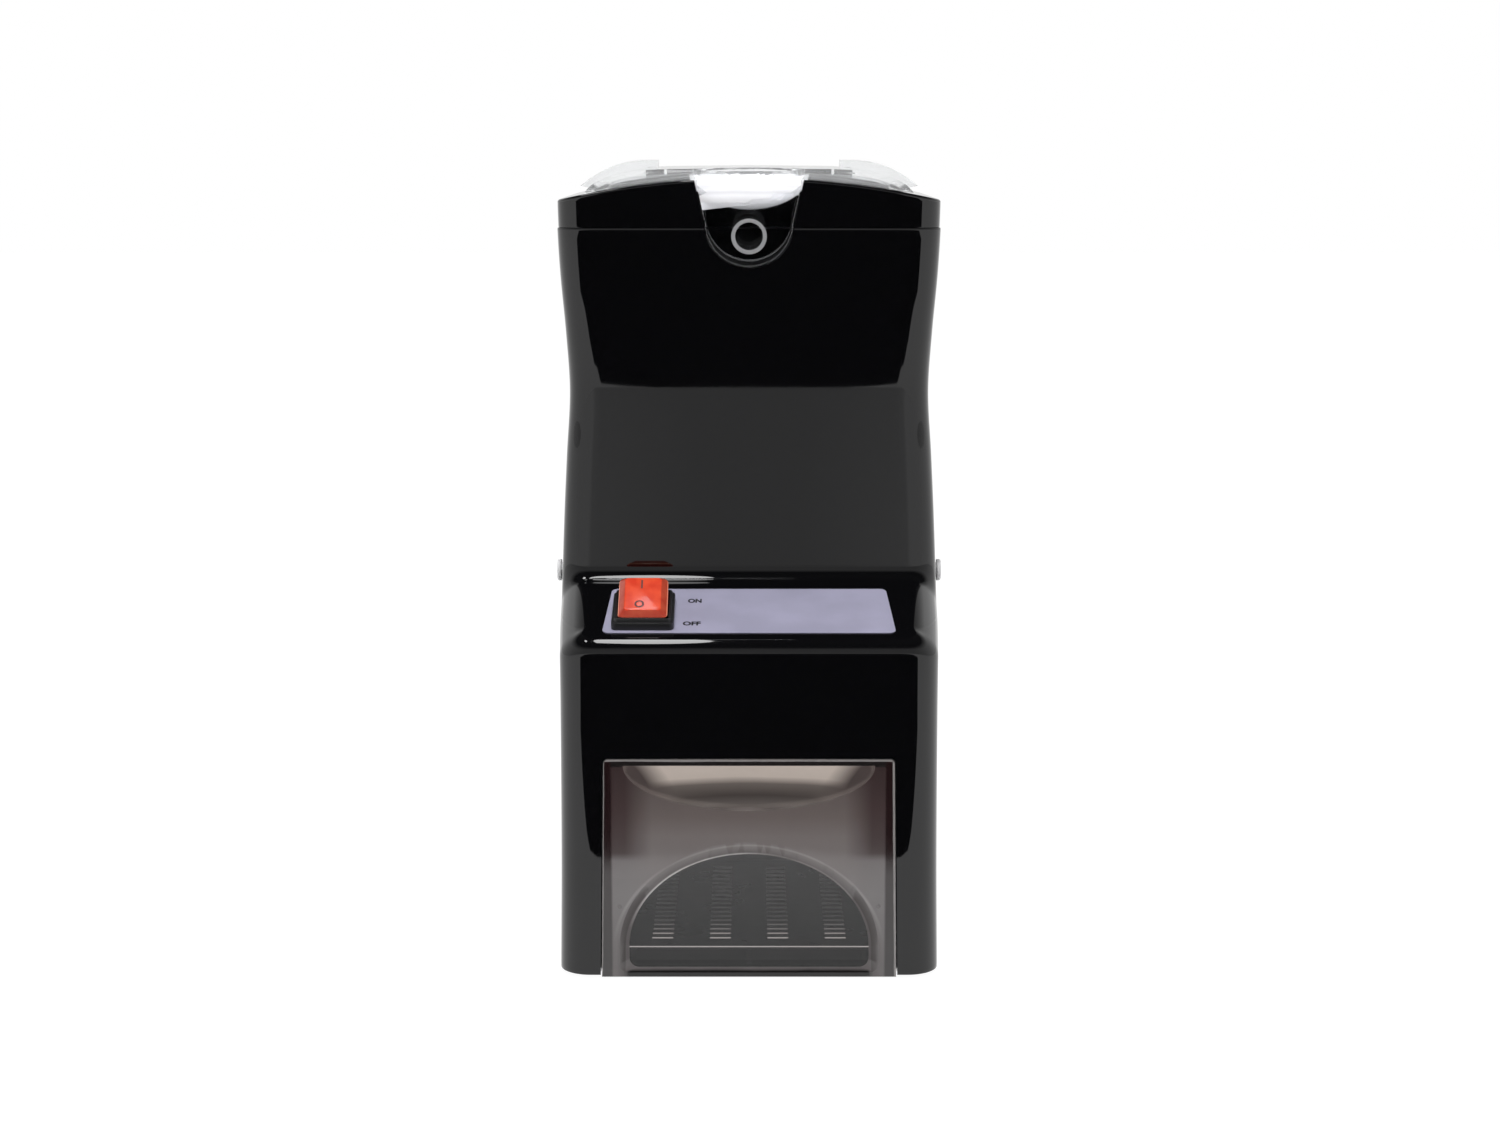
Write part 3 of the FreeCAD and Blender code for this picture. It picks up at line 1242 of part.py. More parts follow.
def make_capacitor():
    floor = BASE_Z + BASE_T
    can = rod_z(CAPACITOR_X, CAPACITOR_Y, floor, floor + CAPACITOR_H, CAPACITOR_R)
    ends = [e for e in can.Edges if e.BoundBox.ZLength < 0.1]
    can = can.makeFillet(2.0, ends)
    tabs = []
    for x in (-5.0, 5.0):
        tabs.append(box(CAPACITOR_X + x - 0.4, CAPACITOR_X + x + 0.4, CAPACITOR_Y - 3, CAPACITOR_Y + 3,
                        floor + CAPACITOR_H - 1, floor + CAPACITOR_H + 7))
    return fuse([can] + tabs)


def make_capacitor_clip():
    floor = BASE_Z + BASE_T
    inside = CAPACITOR_R + SEAT
    low = floor + 12.0
    high = low + 10.0
    half = CLIP_WIDTH / 2
    front = CAPACITOR_Y - half
    back = CAPACITOR_Y + half
    ring = rod_z(CAPACITOR_X, CAPACITOR_Y, low, high, inside + CLIP_T)
    mouth = box(CAPACITOR_X - half, CAPACITOR_X + half, CAPACITOR_Y - inside - 10.0, CAPACITOR_Y,
                low - 1.0, high + 1.0)
    ring = cut(ring, [rod_z(CAPACITOR_X, CAPACITOR_Y, low - 1.0, high + 1.0, inside), mouth])
    leg_x = CAPACITOR_X + inside
    leg = box(leg_x, leg_x + CLIP_T, front, back, floor, high - 2.0)
    toe = box(leg_x, leg_x + 14.0, front, back, floor, floor + CLIP_T)
    return fuse([ring, leg, toe])


# ---------------------------------------------------------------------------
# Drawer and its bay
# ---------------------------------------------------------------------------

def window_wire(grow, y):
    """Arched window: straight foot with round corners, half an ellipse on top."""
    half = WINDOW_HALF + grow * 0.62
    low = WINDOW_LOW_Z - min(grow, 1.6) * 0.9
    rise = WINDOW_TOP_Z - WINDOW_SPRING_Z + grow
    radius = 5.0
    edges = [line(vec(-half + radius, y, low), vec(half - radius, y, low))]
    turn = radius * (1 - math.sqrt(0.5))
    edges.append(arc(vec(half - radius, y, low), vec(half - turn, y, low + turn), vec(half, y, low + radius)))
    edges.append(line(vec(half, y, low + radius), vec(half, y, WINDOW_SPRING_Z)))
    center = vec(0, y, WINDOW_SPRING_Z)
    ellipse = Part.Ellipse(vec(half, y, WINDOW_SPRING_Z), vec(0, y, WINDOW_SPRING_Z + rise), center)
    edges.append(Part.Arc(ellipse, 0.0, math.pi).toShape())
    edges.append(line(vec(-half, y, WINDOW_SPRING_Z), vec(-half, y, low + radius)))
    left_turn = vec(-half + turn, y, low + turn)
    edges.append(arc(vec(-half, y, low + radius), left_turn, vec(-half + radius, y, low)))
    return Part.Wire(edges)


def make_drawer():
    face_y = FRONT + DRAWER_FACE
    panel = drawer_opening(0, face_y, face_y + PANEL_T).common(slab(DRAWER_LOW_Z, DRAWER_TOP_Z + 5))
    floor = BASE_Z + BASE_T + SEAT
    panel_back = face_y + PANEL_T - 0.2
    tub = box(-BIN_HALF, BIN_HALF, panel_back, BIN_BACK, floor, BIN_TOP_Z)
    upright = [e for e in tub.Edges if e.BoundBox.ZLength > 10.0 and e.BoundBox.YMin > BIN_BACK - 1.0]
    tub = tub.makeFillet(8.0, upright)
    hollow = box(-BIN_HALF + BIN_T, BIN_HALF - BIN_T, panel_back - 5.0, BIN_BACK - BIN_T,
                 floor + BIN_T, BIN_TOP_Z + 50)
    upright = [e for e in hollow.Edges if e.BoundBox.ZLength > 10.0 and e.BoundBox.YMin > BIN_BACK - 5.0]
    hollow = hollow.makeFillet(8.0 - BIN_T, upright)
    tub = tub.cut(hollow)
    rails = []
    for x in (-60.0, 0.0, 60.0):
        rails.append(box(x - 1.5, x + 1.5, FRONT + 12.0, BIN_BACK - BIN_T + 0.5,
                         floor + BIN_T - 0.2, GRID_Z))
    outer_window = Part.makeLoft([window_wire(WINDOW_BEVEL + BIN_T, face_y + BIN_T - 0.5),
                                  window_wire(BIN_T, face_y + WINDOW_DEPTH + BIN_T)], True, True)
    window_air = Part.makeLoft([window_wire(WINDOW_BEVEL, face_y - 0.01),
                                window_wire(0, face_y + WINDOW_DEPTH)], True, True)
    grip = spheroid(0, face_y, SCOOP_TOP_Z, SCOOP_HALF + BIN_T, SCOOP_DROP + BIN_T)
    grip_air = spheroid(0, face_y, SCOOP_TOP_Z, SCOOP_HALF, SCOOP_DROP)
    behind = box(-100, 100, face_y, FRONT + 60, 0, SCOOP_TOP_Z)
    drawer = fuse([panel, tub] + rails + [outer_window, grip.common(behind)])
    bar = box(-200, 200, face_y, face_y + PANEL_T + 1.5, SCOOP_TOP_Z, 200)
    return cut(drawer, [window_air, grip_air.cut(bar)])


def make_grid():
    plate = box(-BIN_HALF + BIN_T + SEAT, BIN_HALF - BIN_T - SEAT, FRONT + 8.6, BIN_BACK - BIN_T - SEAT,
                GRID_Z, GRID_Z + GRID_T)
    upright = [e for e in plate.Edges if e.BoundBox.ZLength > 1.0]
    plate = plate.makeFillet(7.0, upright)
    tools = []
    for row in range(GRID_ROWS):
        y = GRID_FIRST + row * GRID_PITCH
        for x in GRID_COLUMNS:
            tools.append(box(x - GRID_SLOT_HALF, x + GRID_SLOT_HALF, y, y + GRID_SLOT,
                             GRID_Z - 1, GRID_Z + 5))
    return cut(plate, tools)


def make_bay():
    floor = BASE_Z + BASE_T
    outer = BAY_HALF + BAY_T
    walls = []
    for side in (-1, 1):
        x0 = BAY_HALF if side > 0 else -outer
        walls.append(box(x0, x0 + BAY_T, FRONT + 9.0, BAY_BACK, floor, DECK_Z + 0.5))
    walls.append(box(-outer, outer, BAY_BACK - BAY_T, BAY_BACK, floor, DECK_Z + 0.5))
    deck = box(-DECK_HALF, DECK_HALF, FRONT + WALL + SEAT, BACK - BACK_WALL - 8.0, DECK_Z, DECK_Z + DECK_T)
    corners = [e for e in deck.Edges if e.BoundBox.ZLength > 1.0]
    deck = deck.makeFillet(10.0, corners)
    half, front, back = chute_hole(SEAT)
    tools = [box(-half, half, front, back, DECK_Z - 1, DECK_Z + 10)]
    for side in (-1, 1):
        for x, y in frame_screw_places(side):
            tools.append(screw_hole(x, y, DECK_Z - 5, 30, vec(0, 0, 1)))
    return cut(fuse([deck] + walls), tools)


# ---------------------------------------------------------------------------
# Label and switch, drawn in the shelf's own frame
# ---------------------------------------------------------------------------

def switch_block(grow, n0, n1):
    half_x = BEZEL_WIDTH / 2 - SWITCH_NECK_IN + grow
    half_s = BEZEL_LENGTH / 2 - 0.9 + grow
    return box(SWITCH_X - half_x, SWITCH_X + half_x, SWITCH_S - half_s, SWITCH_S + half_s, n0, n1)


def switch_cutout():
    return on_shelf(switch_block(SEAT, -20.0, 10.0))


def make_label():
    points = [vec(-LABEL_FRONT_HALF, LABEL_FRONT, 0), vec(LABEL_FRONT_HALF, LABEL_FRONT, 0)]
    points += [vec(LABEL_BACK_HALF, LABEL_BACK, 0), vec(-LABEL_BACK_HALF, LABEL_BACK, 0)]
    label = polygon_prism(points, vec(0, 0, LABEL_T))
    corners = [e for e in label.Edges if e.BoundBox.ZLength > LABEL_T / 2]
    label = label.makeFillet(LABEL_R, corners)
    return on_shelf(label.cut(switch_block(SEAT, -1.0, 1.0)))


def rocker_well(n0, n1):
    half_x = ROCKER_WIDTH / 2 + ROCKER_GAP
    half_s = BEZEL_LENGTH / 2 - BEZEL_STEP_IN - 0.5
    return box(SWITCH_X - half_x, SWITCH_X + half_x, SWITCH_S - half_s, SWITCH_S + half_s, n0, n1)


def make_switch_body():
    half_x = BEZEL_WIDTH / 2
    half_s = BEZEL_LENGTH / 2
    lower = box(SWITCH_X - half_x, SWITCH_X + half_x, SWITCH_S - half_s, SWITCH_S + half_s,
                LABEL_T, LABEL_T + BEZEL_H)
    upright = [e for e in lower.Edges if e.BoundBox.ZLength > 1.0]
    lower = lower.makeFillet(2.5, upright)
    half_x -= BEZEL_STEP_IN
    half_s -= BEZEL_STEP_IN
    upper = box(SWITCH_X - half_x, SWITCH_X + half_x, SWITCH_S - half_s, SWITCH_S + half_s,
                LABEL_T + BEZEL_H, LABEL_T + BEZEL_H + BEZEL_STEP)
    upright = [e for e in upper.Edges if e.BoundBox.ZLength > 1.0]
    upper = upper.makeFillet(2.0, upright)
    body = switch_block(0, -SWITCH_DEPTH, LABEL_T)
    well = rocker_well(-SWITCH_CAVITY, 10.0)
    pin = rod_x(SWITCH_X - 20, SWITCH_X + 20, SWITCH_S, LABEL_T + ROCKER_PIVOT, ROCKER_PIN_R + PRESS)
    pin = pin.common(switch_block(-0.4, -5.0, 10.0))
    return on_shelf(cut(fuse([lower, upper, body]), [well, pin]))


def make_rocker_pin():
    half_x = BEZEL_WIDTH / 2 - SWITCH_NECK_IN - 0.6
    pivot_n = LABEL_T + ROCKER_PIVOT
    return on_shelf(rod_x(SWITCH_X - half_x, SWITCH_X + half_x, SWITCH_S, pivot_n, ROCKER_PIN_R))


def make_rocker():
    x0 = -ROCKER_WIDTH / 2
    low = -4.2
    side = vec(x0, ROCKER_HALF, ROCKER_H)
    foot = vec(x0, ROCKER_HALF - 0.4, -1.0)
    toe = vec(x0, 4.0, low)
    flip = [vec(p.x, -p.y, p.z) for p in (side, foot, toe)]
    edges = [arc(flip[0], vec(x0, 0, ROCKER_H - ROCKER_DIP), side), line(side, foot), line(foot, toe)]
    edges += [line(toe, flip[2]), line(flip[2], flip[1]), line(flip[1], flip[0])]
    rocker = prism(edges, vec(ROCKER_WIDTH, 0, 0))
    rocker = rocker.cut(rod_x(x0 - 1, -x0 + 1, 0, 0, ROCKER_PIN_R + RUN))
    rocker.rotate(vec(0, 0, 0), vec(1, 0, 0), ROCKER_REST)
    rocker.translate(vec(SWITCH_X, SWITCH_S, LABEL_T + ROCKER_PIVOT))
    return on_shelf(rocker)


def make_terminals():
    tabs = []
    for s in (-9.0, 0.0, 9.0):
        tabs.append(box(SWITCH_X - 3.2, SWITCH_X + 3.2, SWITCH_S + s - 0.4, SWITCH_S + s + 0.4,
                        -SWITCH_DEPTH - 9.0, -SWITCH_DEPTH))
    return on_shelf(Part.makeCompound(tabs))


# ---------------------------------------------------------------------------
# Build
# ---------------------------------------------------------------------------

outer_skin = skin(0.0, 0.0, SKIRT_Z)
inner_skin = skin(WALL, BACK_WALL, SKIRT_Z - 1.0)
cap_outer_skin = skin(CAP_STEP, CAP_STEP, SKIRT_Z)
cap_inner_skin = skin(CAP_STEP + WALL, CAP_STEP + WALL, SKIRT_Z)
lip_outer_skin = skin(WALL + SEAT, BACK_WALL + SEAT, SKIRT_Z)
lip_inner_skin = skin(WALL + SEAT + LIP_T, BACK_WALL + SEAT + LIP_T, SKIRT_Z)

save("main_housing", make_housing(outer_skin, inner_skin))
save("top_cap", make_cap(cap_outer_skin, cap_inner_skin, lip_outer_skin, lip_inner_skin))
save("base_plate", make_base_plate())
save("feet", make_feet())
save("base_screws", make_base_screws())
save("side_plugs", make_side_plugs(outer_skin))
save("rear_cover", make_rear_cover())
save("rear_cover_screws", make_rear_screws())
save("power_inlet", make_inlet())
save("inlet_pins", inlet_pins(0.0))
save("label_plate", make_label())
save("switch_body", make_switch_body())
save("switch_terminals", make_terminals())
save("rocker_pin", make_rocker_pin())
save("rocker", make_rocker())
save("lid", make_lid())
save("hinge_pin", make_hinge_pin())
save("lid_switch", make_lid_switch())
save("lid_switch_plunger", make_plunger())
save("hopper", make_hopper())
save("crushing_chamber", make_chamber())
save("fixed_comb", make_comb())
save("rotor_shaft", make_shaft())
for blade_index in range(BLADES):
    save("crusher_blade_" + str(blade_index + 1), make_blade(blade_index))
save("blade_spacers", make_spacers())
save("bush_gear_side", make_bush(-1))
save("bush_far_side", make_bush(1))
save("shaft_collar", make_collar())
save("ice_chute", make_chute())
save("gear_side_plate", make_plate(-1))
save("far_side_plate", make_plate(1))
save("chamber_screws", make_chamber_screws())
save("frame_screws", make_frame_screws())
rotor_gear, idler_gear, motor_pinion = make_gears()
save("rotor_gear", rotor_gear)
save("idler_gear", idler_gear)
save("motor_pinion", motor_pinion)
save("idler_axle", make_idler_axle())
save("idler_clip", make_idler_clip())
save("motor_body", make_motor_body())
save("motor_end_bell", make_end_bell())
save("motor_shaft", make_motor_shaft())
save("cooling_fan", make_fan())
save("motor_screws", make_motor_screws())
save("run_capacitor", make_capacitor())
save("capacitor_clip", make_capacitor_clip())
save("drawer", make_drawer())
save("drip_grid", make_grid())
save("drawer_bay", make_bay())
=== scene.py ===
# %% [markdown]
# # An electric ice crusher, dressed in Blender
#
# The machine's solids were built in a CAD program and packed. Here they are
# imported as a fixed frame, and the pieces that the eye rests on are modelled
# again with smooth surfaces and real finishes: the tall gloss housing, the
# clear lid, the smoke drawer, the label and the rocker switch. Lengths are in
# metres in the scene. Because moulded parts are measured in millimetres, the
# helpers below take millimetres and scale once, at the end.

import json
import math

import bmesh
import bpy
import numpy as np
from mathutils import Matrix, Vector


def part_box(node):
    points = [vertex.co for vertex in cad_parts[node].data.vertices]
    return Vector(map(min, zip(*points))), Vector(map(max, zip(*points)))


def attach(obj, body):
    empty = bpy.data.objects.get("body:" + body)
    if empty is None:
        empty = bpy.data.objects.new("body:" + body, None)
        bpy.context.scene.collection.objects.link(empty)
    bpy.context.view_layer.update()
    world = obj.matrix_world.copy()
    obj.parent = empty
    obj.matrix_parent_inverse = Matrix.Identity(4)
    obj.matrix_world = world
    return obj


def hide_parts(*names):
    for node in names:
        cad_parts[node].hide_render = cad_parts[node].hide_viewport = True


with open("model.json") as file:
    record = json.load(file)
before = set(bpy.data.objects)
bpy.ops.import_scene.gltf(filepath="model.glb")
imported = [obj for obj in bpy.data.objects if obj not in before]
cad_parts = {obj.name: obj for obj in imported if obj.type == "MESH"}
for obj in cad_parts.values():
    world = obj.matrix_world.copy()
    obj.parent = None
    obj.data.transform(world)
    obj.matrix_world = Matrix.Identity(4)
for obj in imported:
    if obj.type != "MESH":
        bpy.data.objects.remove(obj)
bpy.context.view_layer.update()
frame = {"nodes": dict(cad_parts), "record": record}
scene = bpy.context.scene
scene.view_settings.view_transform = "Standard"
MM = 0.001

# %% [markdown]
# ## Helpers
#
# Every operator works on what is selected, and the import leaves its objects
# selected, so each new piece starts from an empty selection. `place_all` writes
# all the vertices of a mesh at once from an array, which is how a wrapped
# grid or an outline gets its shape. `settle` bakes an object's place into its
# mesh, so that patterns on Object coordinates stay where they are.

# %% Selecting and settling
def only(obj):
    """Leave this one object selected and active."""
    for other in bpy.context.selected_objects:
        other.select_set(False)
    obj.select_set(True)
    bpy.context.view_layer.objects.active = obj
    return obj


def nothing_selected():
    for other in bpy.context.selected_objects:
        other.select_set(False)


def settle(obj, name):
    """Name the piece and bake its place into its mesh."""
    only(obj)
    obj.name = name
    obj.data.name = name
    bpy.ops.object.transform_apply(location=True, rotation=True, scale=True)
    return obj


def place_all(obj, points):
    """Write every vertex, given in millimetres."""
    flat = (np.asarray(points, float) * MM).astype(np.float32).ravel()
    obj.data.vertices.foreach_set("co", flat)
    obj.data.update()


def vertices_of(obj):
    """Every vertex in millimetres."""
    flat = np.zeros(len(obj.data.vertices) * 3, np.float32)
    obj.data.vertices.foreach_get("co", flat)
    return flat.reshape(-1, 3).astype(float) / MM


print("millimetres in a metre:", round(1 / MM))

# %% Mending, smoothing and cutting a mesh
def tidy_mesh(obj, distance=0.002):
    """Merge doubles (millimetres) and turn the faces outwards."""
    only(obj)
    bpy.ops.object.mode_set(mode="EDIT")
    bpy.ops.mesh.select_all(action="SELECT")
    bpy.ops.mesh.remove_doubles(threshold=distance * MM)
    bpy.ops.mesh.normals_make_consistent(inside=False)
    bpy.ops.object.mode_set(mode="OBJECT")
    return obj


def smooth(obj, degrees=35.0):
    only(obj)
    bpy.ops.object.shade_smooth_by_angle(angle=math.radians(degrees))
    return obj


def apply_modifier(obj, kind, **settings):
    only(obj)
    modifier = obj.modifiers.new(kind.lower(), kind)
    for key, value in settings.items():
        setattr(modifier, key, value)
    bpy.ops.object.modifier_apply(modifier=modifier.name)
    return obj


def bevel(obj, width, segments=2, degrees=40.0):
    return apply_modifier(obj, "BEVEL", width=width * MM, segments=segments, limit_method="ANGLE",
                          angle_limit=math.radians(degrees), use_clamp_overlap=True)


def boolean(obj, tool, operation="DIFFERENCE"):
    """Cut, join or intersect, then throw the tool away."""
    apply_modifier(obj, "BOOLEAN", object=tool, operation=operation, solver="EXACT")
    bpy.data.objects.remove(tool, do_unlink=True)
    return obj


def joined(objects, name):
    """Put the meshes together in the first object."""
    mesh = bmesh.new()
    for obj in objects:
        mesh.from_mesh(obj.data)
    mesh.to_mesh(objects[0].data)
    mesh.free()
    for obj in objects[1:]:
        bpy.data.objects.remove(obj, do_unlink=True)
    objects[0].name = name
    return objects[0]


print("mesh helpers ready")

# %% Primitives at their size and place
def block(x0, x1, y0, y1, z0, z1):
    """A cube primitive at its size and place."""
    nothing_selected()
    centre = ((x0 + x1) / 2 * MM, (y0 + y1) / 2 * MM, (z0 + z1) / 2 * MM)
    bpy.ops.mesh.primitive_cube_add(size=1.0, location=centre)
    obj = bpy.context.object
    obj.scale = ((x1 - x0) * MM, (y1 - y0) * MM, (z1 - z0) * MM)
    return settle(obj, "block")


def flat_piece(outline, name):
    """A circle primitive whose vertices take an outline."""
    nothing_selected()
    bpy.ops.mesh.primitive_circle_add(vertices=len(outline), radius=1.0, fill_type="NGON")
    obj = bpy.context.object
    place_all(obj, outline)
    return settle(obj, name)


def prism(outline, push):
    """An outline extruded by push."""
    obj = flat_piece(outline, "prism")
    bpy.ops.object.mode_set(mode="EDIT")
    bpy.ops.mesh.select_all(action="SELECT")
    bpy.ops.mesh.extrude_region_move(TRANSFORM_OT_translate={"value": tuple(v * MM for v in push)})
    bpy.ops.object.mode_set(mode="OBJECT")
    return tidy_mesh(obj)


def rod(radius, start, end, vertices=48):
    """A cylinder primitive between two points."""
    nothing_selected()
    a, b = Vector(start), Vector(end)
    axis = b - a
    turn = axis.to_track_quat("Z", "Y").to_euler()
    bpy.ops.mesh.primitive_cylinder_add(vertices=vertices, radius=radius * MM, depth=axis.length * MM,
                                        location=(a + b) / 2 * MM, rotation=turn)
    return settle(bpy.context.object, "rod")


def arc_points(centre, radius, start, end, steps):
    """Points on an arc in a plane, degrees, both ends included."""
    angles = np.radians(np.linspace(start, end, steps + 1))
    return [(centre[0] + radius * math.cos(a), centre[1] + radius * math.sin(a)) for a in angles]


print("points in a quarter circle of 6 steps:", len(arc_points((0.0, 0.0), 1.0, 0.0, 90.0, 6)))

# %% [markdown]
# ## A working copy of a CAD node
#
# Many small pieces already have the right shape as solids. A CAD node's own
# mesh is loose triangles, which can't be shaded smoothly, so a copy is taken,
# its doubles are merged, flat triangles are dissolved, and a fine bevel breaks
# the hard edges as a mould does.

# %% Copying nodes
DOUBLES, FLAT_ANGLE = 0.004, 0.6


def flat_faces(obj):
    """Let the large faces set the shading, so that only the fine bevels turn the light."""
    return apply_modifier(obj, "WEIGHTED_NORMAL", keep_sharp=True, weight=80)


def dressed_copy(node, name, edge=0.0, degrees=35.0, segments=2):
    """A clean copy of a node with its edges broken by a bevel of this width (millimetres)."""
    source = frame["nodes"][node]
    obj = bpy.data.objects.new(name, source.data.copy())
    scene.collection.objects.link(obj)
    obj.data.materials.clear()
    only(obj)
    bpy.ops.object.mode_set(mode="EDIT")
    bpy.ops.mesh.select_all(action="SELECT")
    bpy.ops.mesh.remove_doubles(threshold=DOUBLES * MM)
    bpy.ops.mesh.dissolve_limited(angle_limit=math.radians(FLAT_ANGLE))
    bpy.ops.object.mode_set(mode="OBJECT")
    if edge:
        bevel(obj, edge, segments)
    smooth(obj, degrees)
    return flat_faces(obj)


def stand_for(obj, body, slot_name, *nodes):
    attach(obj, body)
    if nodes:
        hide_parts(*nodes)
    print(obj.name, "rides on", body, "-", len(obj.data.polygons), "faces")
    return obj


print("nodes that can be copied:", len(frame["nodes"]))

# %% [markdown]
# ## Finishes
#
# A finish is a small network: one shader, and a few patterns on Object
# coordinates that vary its colour, its roughness and its surface. It could be
# painted on an image instead, but a network needs no unwrapping and stays
# sharp close up. Values that are the same all over are written straight on
# the shader's sockets.

# %% A shader and its patterns
def finish(name, color, roughness, metallic=0.0, **sockets):
    """A Principled material; returns it with its nodes, links and shader."""
    material = bpy.data.materials.new(name)
    material.use_nodes = True
    nodes = material.node_tree.nodes
    links = material.node_tree.links
    shader = nodes["Principled BSDF"]
    shader.inputs["Base Color"].default_value = (*color, 1.0)
    shader.inputs["Roughness"].default_value = roughness
    shader.inputs["Metallic"].default_value = metallic
    for socket, value in sockets.items():
        shader.inputs[socket.replace("_", " ")].default_value = value
    return material, nodes, links, shader


def object_noise(nodes, links, scale, detail=3.0, stretch=(1.0, 1.0, 1.0)):
    """Noise on Object coordinates, stretched by a Mapping node."""
    where = nodes.new("ShaderNodeTexCoord")
    mapping = nodes.new("ShaderNodeMapping")
    mapping.inputs["Scale"].default_value = stretch
    noise = nodes.new("ShaderNodeTexNoise")
    noise.inputs["Scale"].default_value = scale
    noise.inputs["Detail"].default_value = detail
    links.new(where.outputs["Object"], mapping.inputs["Vector"])
    links.new(mapping.outputs["Vector"], noise.inputs["Vector"])
    return noise


NOISE_LOW, NOISE_HIGH = 0.35, 0.65


def vary(nodes, links, source, target, low, high):
    """A noise turned to a colour or a grey between low and high, linked to a socket."""
    ramp = nodes.new("ShaderNodeValToRGB")
    for item, place, value in zip(ramp.color_ramp.elements, (NOISE_LOW, NOISE_HIGH), (low, high)):
        item.position = place
        item.color = (*value, 1.0) if hasattr(value, "__len__") else (value, value, value, 1.0)
    links.new(source, ramp.inputs["Fac"])
    links.new(ramp.outputs["Color"], target)


def vary_roughness(nodes, links, shader, source, low, high):
    vary(nodes, links, source, shader.inputs["Roughness"], low, high)


def vary_color(nodes, links, shader, source, low, high):
    vary(nodes, links, source, shader.inputs["Base Color"], low, high)


def bump(nodes, links, shader, source, strength, distance=0.0001):
    relief = nodes.new("ShaderNodeBump")
    relief.inputs["Strength"].default_value = strength
    relief.inputs["Distance"].default_value = distance
    links.new(source, relief.inputs["Height"])
    links.new(relief.outputs["Normal"], shader.inputs["Normal"])


print("pattern helpers ready")

# %% Plain finishes
MOTTLE_SCALE, MOTTLE_DARK, METAL_DULL = 40.0, 0.88, 0.8


def plastic(name, color, roughness, spread=0.04, grain=900.0, depth=0.15):
    """Moulded plastic: slight mottling, a fine moulded grain, uneven gloss."""
    material, nodes, links, shader = finish(name, color, roughness)
    mottle = object_noise(nodes, links, MOTTLE_SCALE)
    dark = tuple(c * MOTTLE_DARK for c in color)
    vary_color(nodes, links, shader, mottle.outputs["Fac"], dark, color)
    vary_roughness(nodes, links, shader, mottle.outputs["Fac"], roughness - spread, roughness + spread)
    fine = object_noise(nodes, links, grain, 2.0)
    bump(nodes, links, shader, fine.outputs["Fac"], depth)
    return material


def metal(name, color, roughness, stretch=(1.0, 1.0, 1.0), scale=600.0, depth=0.12):
    """Metal with a direction: noise drawn out along the way it was ground or drawn."""
    material, nodes, links, shader = finish(name, color, roughness, metallic=1.0)
    streaks = object_noise(nodes, links, scale, 4.0, stretch)
    dull = tuple(c * METAL_DULL for c in color)
    vary_color(nodes, links, shader, streaks.outputs["Fac"], dull, color)
    vary_roughness(nodes, links, shader, streaks.outputs["Fac"],
                   max(roughness - 0.08, 0.03), roughness + 0.10)
    bump(nodes, links, shader, streaks.outputs["Fac"], depth)
    return material


def gloss_black():
    """Piano-black moulding: nearly mirror smooth, with a breath of orange peel."""
    material, nodes, links, shader = finish("gloss_black", (0.0030, 0.0030, 0.0036), 0.02, IOR=1.50)
    peel = object_noise(nodes, links, 120.0, 2.0)
    bump(nodes, links, shader, peel.outputs["Fac"], 0.012, 0.00008)
    haze = object_noise(nodes, links, 26.0, 5.0)
    vary_roughness(nodes, links, shader, haze.outputs["Fac"], 0.012, 0.035)
    return material


def clear_plastic(name, color, roughness, ior, share=1.0, haze=0.02):
    """See-through moulding with faint flow marks."""
    material, nodes, links, shader = finish(name, color, roughness, IOR=ior, Transmission_Weight=share)
    flow = object_noise(nodes, links, 60.0, 3.0, (1.0, 0.4, 1.0))
    vary_roughness(nodes, links, shader, flow.outputs["Fac"], roughness, roughness + haze)
    ripple = object_noise(nodes, links, 90.0, 1.0)
    bump(nodes, links, shader, ripple.outputs["Fac"], 0.04, 0.0001)
    return material


print("plain finishes ready")

# %% [markdown]
# ## Finishes that change along a piece
#
# The smoke drawer, its scoop and its pane, the lid's bowl and the plate's slots
# each change colour from place to place, and most of it is painted light and
# shade: glows, painted highlights and painted shade that stand in for light
# that gathers in thick clear plastic and passes where it is thin. A render
# could work that out from the thickness alone, but slowly and with much noise,
# and an exported model would lose it. So each is laid down along the piece's
# own height and width, in metres, with small maths nodes, and a trace of noise
# stirs the coordinates so that no border is ruled with a ruler.

# %% Numbers and colours along a piece
def math_of(nodes, links, kind, first, second=None):
    """A maths node on sockets or numbers."""
    node = nodes.new("ShaderNodeMath")
    node.operation = kind
    for socket, value in zip(node.inputs, (first, second)):
        if hasattr(value, "links"):
            links.new(value, socket)
        elif value is not None:
            socket.default_value = value
    return node.outputs[0]


def step_between(nodes, links, source, start, end, low=0.0, high=1.0):
    """Low before the start, high after the end, and an even slope between."""
    step = nodes.new("ShaderNodeMapRange")
    for socket, value in (("From Min", start), ("From Max", end), ("To Min", low), ("To Max", high)):
        step.inputs[socket].default_value = value
    links.new(source, step.inputs["Value"])
    return step.outputs[0]


def rgb_of(nodes, color):
    node = nodes.new("ShaderNodeRGB")
    node.outputs[0].default_value = (*color, 1.0)
    return node.outputs[0]


def ramp_of(nodes, links, source, low, high, stops):
    """Colours along a value, between a low and a high one; stops are (place, colour)."""
    ramp = nodes.new("ShaderNodeValToRGB")
    items = ramp.color_ramp.elements
    while len(items) < len(stops):
        items.new(0.5)
    for item, (place, color) in zip(items, stops):
        item.position = (place - low) / (high - low)
        item.color = (*color, 1.0)
    links.new(step_between(nodes, links, source, low, high), ramp.inputs["Fac"])
    return ramp.outputs[0]


